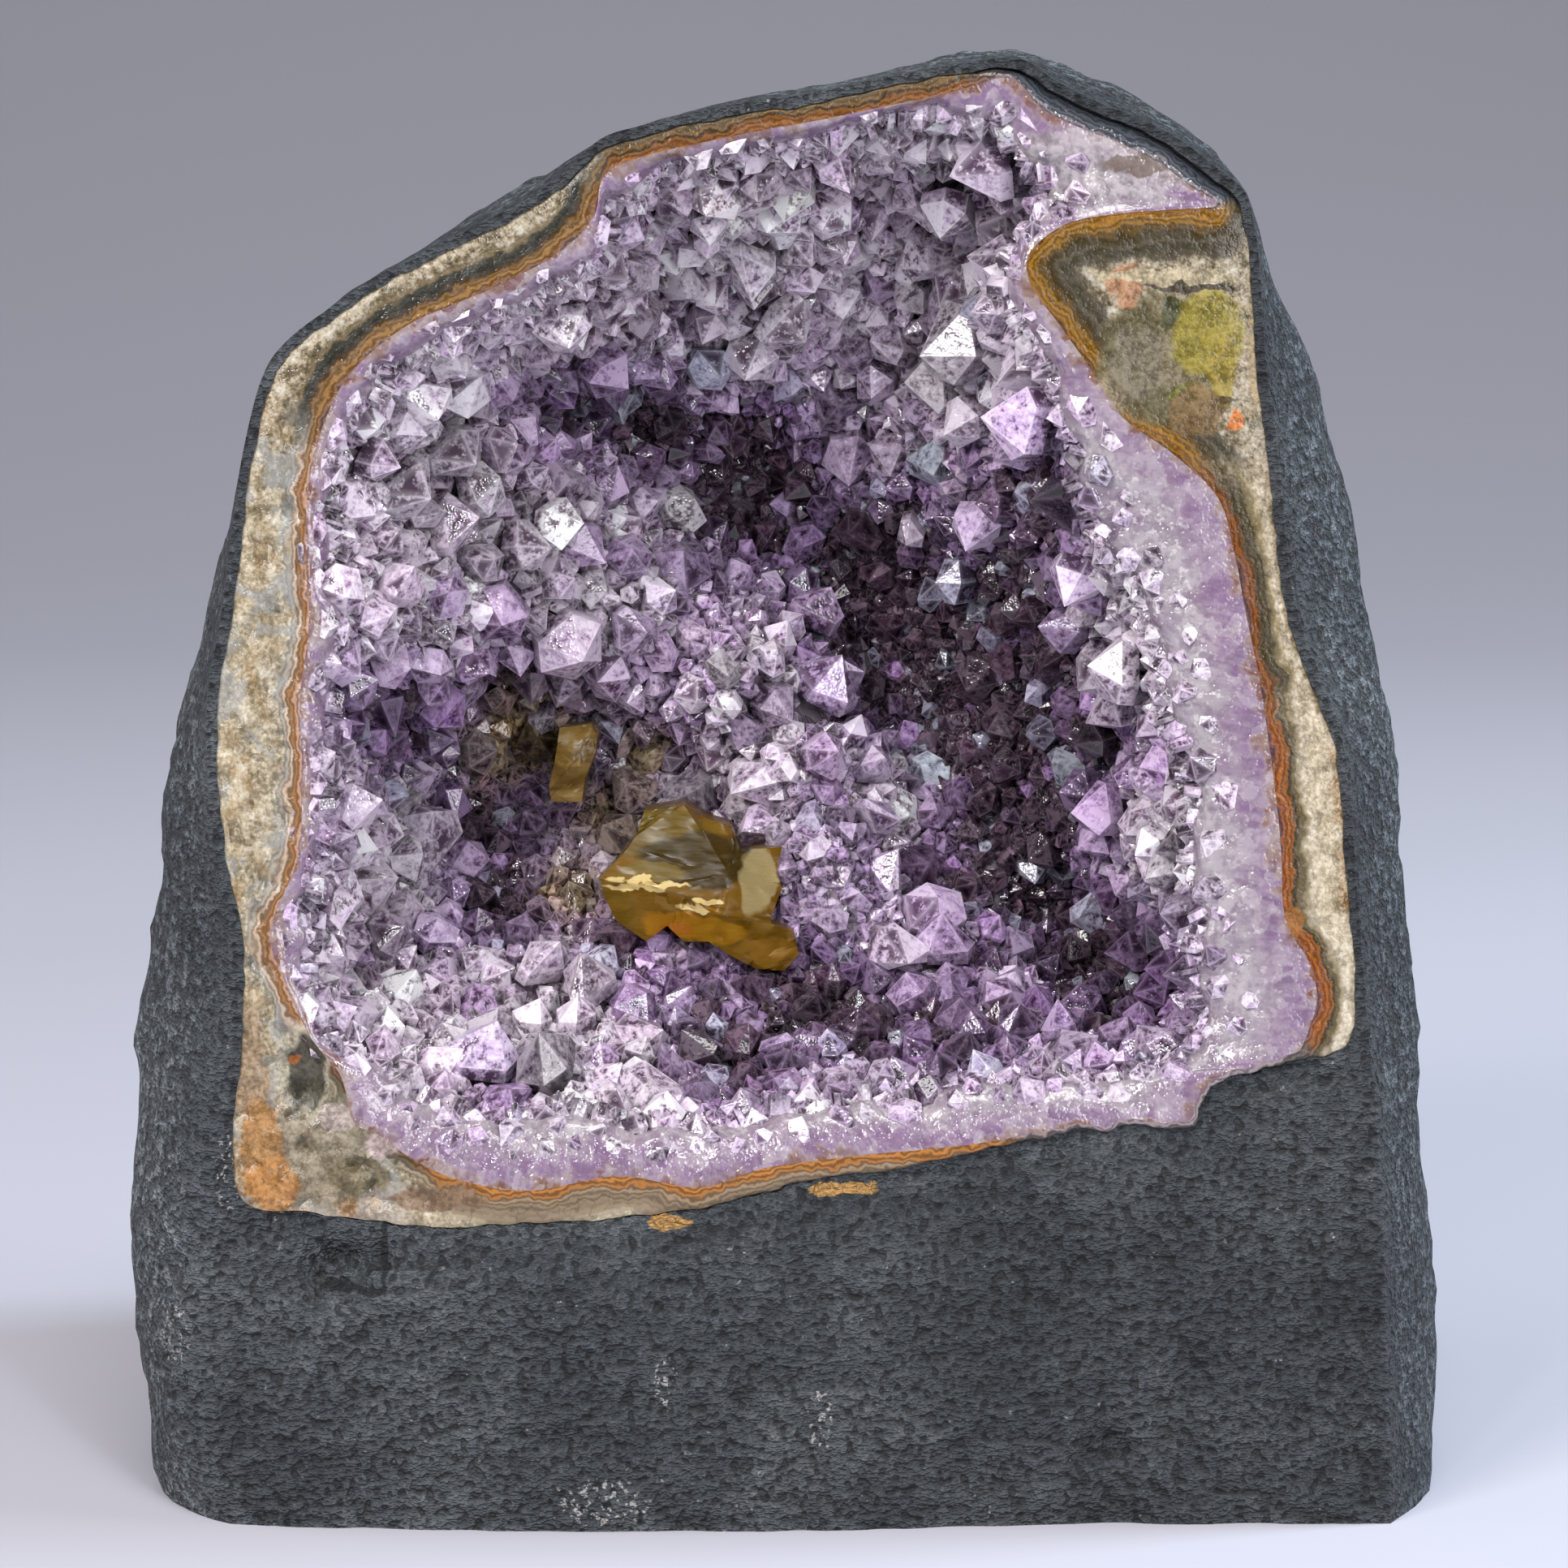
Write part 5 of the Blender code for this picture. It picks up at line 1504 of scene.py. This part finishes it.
def bent_bodies(corners, radii, rng):
    """The corners of each crystal in shares of its radius, twisted, bent and flattened by chance."""
    count = len(radii)
    edge, shoulder, tip = crystal_parts(corners)
    bodies = np.repeat(corners[None], count, axis=0)
    bodies[:, corners[:, 2] < -0.1, 2] = -ROOT_DEPTH / radii[:, None]
    to_side = np.where(sixths(corners) % 2 == 0, 1, -1) * edge
    turned = to_side * rng.uniform(0.0, MOST_TWIST, (count, 1))
    cos, sin = np.cos(turned), np.sin(turned)
    bodies[..., 0], bodies[..., 1] = (
        bodies[..., 0] * cos - bodies[..., 1] * sin,
        bodies[..., 0] * sin + bodies[..., 1] * cos,
    )
    bodies[:, shoulder, 2] += rng.normal(0, SHOULDER_SPREAD, (count, shoulder.sum()))
    bodies[:, tip, :2] += rng.normal(0, TIP_SPREAD, (count, 1, 2))
    bodies[:, tip, 2] *= rng.uniform(*TIP_HEIGHTS, (count, 1))
    bodies[:, :, 1] *= rng.uniform(*FLATNESS, (count, 1))
    return bodies


def stand(bodies, foot, normal, radii, share, rng):
    """The corners of the crystals in metres, each on its foot and leaning out of the hollow."""
    count = len(radii)
    lean = unit(normal - INTO_STONE * TOWARDS_FACE + rng.normal(0, LEAN_SPREAD, (count, 3)))
    side = unit(np.cross(lean, rng.normal(0, 1, (count, 3))))
    other = np.cross(lean, side)
    size = radii[:, None, None] * MM
    inner = 1 - 0.8 * smooth_step(0.85, 0.97, share)
    rise = (radii * rng.uniform(*RISE, count) * inner)[:, None, None] * MM
    return (
        bodies[..., 0:1] * side[:, None] * size
        + bodies[..., 1:2] * other[:, None] * size
        + lean[:, None] * (bodies[..., 2:3] * size + rise)
        + foot[:, None]
    )


def sawn(rim, solid, rng):
    """The crystals sawn off a little below the face, and which of them stay clear of the agate's edge."""
    x, s, d = part_to_face(solid)
    across, up = x - CAVITY_CENTRE[0], s - CAVITY_CENTRE[1]
    allowed = edge_radius(rim.outer, np.arctan2(up, across)) - CLEAR_OF_AGATE
    inside = (np.hypot(across, up) < allowed).all(axis=1)
    sawn_at = CUT_FLUSH_AT + rng.uniform(*SAWN_LOWER, (len(solid), 1))
    return in_place(x, s, np.maximum(d, sawn_at))[inside], inside


def colour_crystals(obj, corners, triangles, ridges, colours, rng):
    """Gives each corner its colour, with painted shade at each crystal's root and painted light at its tip,
    each facet a random painted reflection, and the corners of facets their ridges.
    """
    count = len(colours)
    brightness = np.repeat(np.exp(rng.normal(0, BRIGHTNESS_SPREAD, (count, 1))), 3, axis=1)
    brightness[: len(LANDMARKS)] = np.clip(brightness[: len(LANDMARKS)], *LANDMARK_BRIGHTNESS)
    brightness[:, 1] *= rng.uniform(*GREENNESS, count)
    _, shoulder, tip = crystal_parts(corners)
    # Painted shade and light: the root of each crystal is darkened to 0.4 of its colour and its tip
    # lightened by 1.15.
    painted_root_shade_tip_light = np.where(tip, 1.15, np.where(shoulder, 1.0, 0.4))[None, :, None]
    give_colours(obj, "tint_with_painted_light_and_shade", np.clip((colours * brightness)[:, None] * painted_root_shade_tip_light, 0, 1))
    facet_of = np.array([facet_number(corners[triangle]) for triangle in triangles])
    # Painted reflection: each facet of each crystal gets a random brightness.
    painted_reflection_tones = rng.beta(1.2, 1.6, (count, facet_of.max() + 1))[:, facet_of]
    give_attribute(obj, "painted_reflection_tone", painted_reflection_tones, "FACE")
    give_colours(obj, "ridges", np.tile(ridges.ravel(), count), "CORNER")


def make_crystals(rim):
    """Every separate crystal, on the wall and on the inner part of the lip, as one mesh."""
    rng = np.random.default_rng(CRYSTAL_SEED)
    (u, v), radii = place_crystals(rim, rng)
    share = np.hypot(u, v)
    colours = tints(*wall(rim, u, v), share, rng)
    colours[: len(LANDMARKS)] = [linear(row[3]) for row in LANDMARKS]
    foot, normal = wall_frame(rim, u, v)
    lip_foot, lip_normal, lip_radii, lip_colours = lip_crystals(rim, rng)
    foot = np.vstack([foot, lip_foot])
    normal = np.vstack([normal, lip_normal])
    radii = np.concatenate([radii, lip_radii])
    colours = np.vstack([colours, lip_colours])
    share = np.concatenate([share, np.ones(len(lip_radii))])

    corners, triangles, ridges = crystal_shape()
    bodies = bent_bodies(corners, radii, rng)
    solid, kept = sawn(rim, stand(bodies, foot, normal, radii, share, rng), rng)
    faces = (triangles[None] + np.arange(len(solid))[:, None, None] * len(corners)).reshape(-1, 3)
    mesh = bpy.data.meshes.new("amethyst_points")
    mesh.from_pydata(solid.reshape(-1, 3).tolist(), [], faces.tolist())
    obj = new_object("amethyst_points", mesh)
    colour_crystals(obj, corners, triangles, ridges, colours[kept], rng)
    return obj


# The calcite

# What shows of each block, as seen on the face: x, s and the depth d in mm. Corners are named by letters,
# and each facet is a loop of them.
CALCITE_CORNERS = {
    "calcite_cluster": {
        "a": (-13.3, 68.2, 27.0), "b": (-9.5, 68.8, 27.5), "c": (-7.5, 67.6, 28.0), "e": (-5.0, 66.7, 28.5),
        "f": (-4.1, 64.5, 27.0), "g": (-0.2, 64.8, 29.0), "h": (-0.7, 62.5, 28.0), "i": (-0.2, 60.9, 27.5),
        "j": (-1.2, 58.2, 25.5), "k": (-17.6, 61.8, 25.5), "l": (-12.6, 61.1, 24.2),
        "m": (-9.5, 60.2, 23.6), "n": (-7.2, 58.9, 23.4), "o": (-5.4, 58.2, 23.4), "v": (-14.0, 65.9, 27.0),
        "w": (-15.3, 64.1, 26.6), "q": (-5.3, 62.4, 24.6), "k2": (-17.4, 61.6, 24.2),
        "l2": (-12.6, 60.9, 22.4), "m2": (-9.4, 60.0, 21.8), "n2": (-7.2, 58.7, 21.6),
        "o2": (-5.3, 58.0, 21.6), "p": (-1.2, 57.5, 22.4), "r": (0.9, 56.8, 23.4), "t": (1.4, 54.6, 24.5),
        "u": (0.0, 53.0, 25.5), "x": (-2.7, 53.2, 24.6), "y": (-5.0, 54.4, 24.0), "z": (-7.2, 55.8, 23.6),
        "a2": (-9.5, 55.8, 24.0), "b2": (-11.1, 57.3, 23.4), "c2": (-13.1, 55.8, 24.6),
        "e2": (-16.0, 57.8, 25.0), "f2": (-17.2, 60.4, 24.8),
    },
    "calcite_spur": {
        "a": (-21.3, 76.1, 31.5), "b": (-18.3, 76.5, 31.0), "c": (-17.7, 75.6, 31.0),
        "d": (-17.9, 73.8, 30.4), "e": (-18.9, 71.3, 30.6), "f": (-19.2, 69.1, 31.2),
        "g": (-22.1, 69.1, 32.2), "h": (-22.3, 70.6, 31.6), "i": (-21.8, 72.8, 30.8),
        "j": (-21.5, 74.5, 31.0), "m": (-19.9, 73.0, 29.6),
    },
}
CALCITE_FACETS = {
    "calcite_cluster": (
        "a b q w v", "b c e q", "e f q", "w q m l k", "q o n m", "f g h i j o q", "k l l2 k2", "l m m2 l2",
        "m n n2 m2", "n o o2 n2", "o j p o2", "k2 l2 c2 e2 f2", "l2 m2 a2 b2 c2", "m2 n2 z a2", "n2 o2 y z",
        "o2 p x y", "p r t u x",
    ),
    "calcite_spur": ("a b m j", "b c d m", "d e m", "e f g m", "g h i m", "i j m"),
}
CALCITE_BACK = 37.0
# Cleavage, in mm: how high its steps are and how wide, how they slope and wave, and their chips and grain
CLEAVAGE_STEP = 0.24
CLEAVAGE_WIDTH = 1.5
CLEAVAGE_SLOPE = 0.45
CLEAVAGE_WAVES = ((2.6, 2.2, (0, 0, 0)),)
CALCITE_CHIPS = ((1.5, 1.0, (4, 4, 9)),)
CALCITE_CHIP_LIMIT = 0.15
CALCITE_GRAIN = ((0.9, 0.05, (0, 0, 0)),)


def make_calcite(name):
    """A broken block: its facets are drawn, carried back into the rock, divided and cleaved in steps."""
    corners = CALCITE_CORNERS[name]
    keys = list(corners)
    points = [in_place(*behind_view(*corners[key])).tolist() for key in keys]
    faces = [[keys.index(key) for key in facet.split()] for facet in CALCITE_FACETS[name]]
    mesh = bpy.data.meshes.new(name)
    mesh.from_pydata(points, [], faces)
    obj = new_object(name, mesh)
    select_only(obj)
    bpy.ops.object.mode_set(mode="EDIT")
    bpy.ops.mesh.select_all(action="SELECT")
    bpy.ops.mesh.normals_make_consistent(inside=False)
    bpy.ops.mesh.extrude_region_move(TRANSFORM_OT_translate={"value": (0, 0, 0)})
    bpy.ops.transform.translate(value=(INTO_STONE * (CALCITE_BACK - CALCITE_DEPTH) * MM).tolist())
    bpy.ops.mesh.select_all(action="SELECT")
    bpy.ops.mesh.quads_convert_to_tris()
    bpy.ops.mesh.subdivide(number_cuts=5)
    bpy.ops.mesh.normals_make_consistent(inside=False)
    bpy.ops.object.mode_set(mode="OBJECT")
    count = len(mesh.vertices)
    at = np.empty(count * 3)
    mesh.vertices.foreach_get("co", at)
    at = at.reshape(-1, 3)
    place = at / MM
    sloped = place[:, 2] + CLEAVAGE_SLOPE * place[:, 0]
    steps = np.floor((sloped + relief(place, CLEAVAGE_WAVES)) / CLEAVAGE_WIDTH) % 2
    chips = pitting(place, CALCITE_CHIPS, CALCITE_CHIP_LIMIT) + relief(place, CALCITE_GRAIN)
    depth = steps * CLEAVAGE_STEP + chips
    mesh.vertices.foreach_set("co", (at + depth[:, None] * INTO_STONE * MM).ravel())
    mesh.update()
    outwards(obj)
    smooth(obj, 38)
    return obj


# Floor, light and camera

SWEEP_RADIUS = 1.2
LIGHTS = (
    ("key", (-0.55, -0.7, 0.6), 0.35, 8.6, (1.0, 0.98, 0.96)),
    ("fill", (0.45, -0.95, 0.3), 0.4, 4.0, (1.0, 0.98, 1.0)),
    ("over", (0.05, -0.4, 0.9), 0.3, 3.6, (1.0, 0.99, 1.0)),
    ("sky", (0.5, 0.1, 0.6), 0.14, 4.5, (0.62, 0.82, 1.0)),
    ("side", (-0.8, 0.1, 0.3), 0.4, 3.0, (0.95, 0.97, 1.0)),
    ("far_side", (0.85, -0.05, 0.35), 0.4, 5.6, (0.98, 0.97, 1.0)),
    ("strip_left", (-0.3, -0.9, 0.45), 0.07, 1.9, (1.0, 1.0, 1.0)),
    ("strip_right", (0.28, -0.8, 0.5), 0.06, 1.6, (0.85, 0.95, 1.0)),
)


FLOOR_SIZE = 8
FLOOR_FORWARD = 3.4
SWEEP_STEPS = 16
BACKDROP_HEIGHT = 3
LIGHTS_AIM = Vector((0, 0, 0.08))


def make_floor():
    """A floor that curves up into a backdrop behind the part, in metres."""
    bpy.ops.object.select_all(action="DESELECT")
    bpy.ops.mesh.primitive_plane_add(size=FLOOR_SIZE, location=(0, -FLOOR_FORWARD, 0))
    floor = bpy.context.object
    floor.name = "floor"
    bpy.ops.object.mode_set(mode="EDIT")
    bpy.ops.mesh.select_all(action="DESELECT")
    shape = bmesh.from_edit_mesh(floor.data)
    for edge in shape.edges:
        edge.select_set(all(vertex.co.y > 0.49 * FLOOR_SIZE for vertex in edge.verts))
    shape.select_flush(True)
    step = SWEEP_RADIUS * math.radians(90) / SWEEP_STEPS
    for k in range(SWEEP_STEPS):
        turn = math.radians(90) * (k + 0.5) / SWEEP_STEPS
        bpy.ops.mesh.extrude_region_move(
            TRANSFORM_OT_translate={"value": (0, math.cos(turn) * step, math.sin(turn) * step)}
        )
    bpy.ops.mesh.extrude_region_move(TRANSFORM_OT_translate={"value": (0, 0, BACKDROP_HEIGHT)})
    bpy.ops.object.mode_set(mode="OBJECT")
    bpy.ops.object.transform_apply()
    smooth(floor, 30)
    made, tree, shader = new_material("pale floor")
    connect(tree, shader, base_color=(0.42, 0.41, 0.46, 1), roughness=0.7)
    floor.data.materials.append(made)


def make_lights():
    world = bpy.data.worlds.new("studio")
    bpy.context.scene.world = world
    world.use_nodes = True
    connect(world.node_tree, world.node_tree.nodes["Background"], color=(0.85, 0.83, 0.86, 1), strength=0.22)
    for name, at, size, power, colour in LIGHTS:
        data = bpy.data.lights.new(name, "AREA")
        data.size = size
        data.energy = power
        data.color = colour
        light = new_object(name, data)
        light.location = at
        light.rotation_euler = (LIGHTS_AIM - Vector(at)).to_track_quat("-Z", "Y").to_euler()
    bpy.context.scene.view_settings.view_transform = "Standard"


def make_camera():
    data = bpy.data.cameras.new("camera")
    data.lens = CAMERA_LENS
    data.sensor_width = 36
    camera = new_object("camera", data)
    target = Vector(in_place(*CAMERA_AIM, 0.0))
    back = Vector((0, -math.cos(CAMERA_ELEVATION), math.sin(CAMERA_ELEVATION)))
    camera.location = target + back * CAMERA_DISTANCE * MM
    camera.rotation_euler = (-back).to_track_quat("-Z", "Y").to_euler()
    bpy.context.scene.camera = camera


def main():
    rim = Rim()
    body = make_body(rim)
    give_hollowness(body)
    smooth(body, 60)
    finish_piece(body, "basalt", basalt_material(), "basalt_shell")
    finish_piece(make_rind(rim), "agate", agate_material(), "agate_rind")
    finish_piece(make_crust(rim), "amethyst", lip_material(), "amethyst_crust")
    finish_piece(make_crystals(rim), "amethyst", crystal_material())
    large, small = make_calcite("calcite_cluster"), make_calcite("calcite_spur")
    finish_piece(large, "calcite", calcite_material("honey calcite"), "calcite_large")
    finish_piece(small, "calcite", calcite_material("smoky calcite"), "calcite_small")
    make_floor()
    make_lights()
    make_camera()


main()
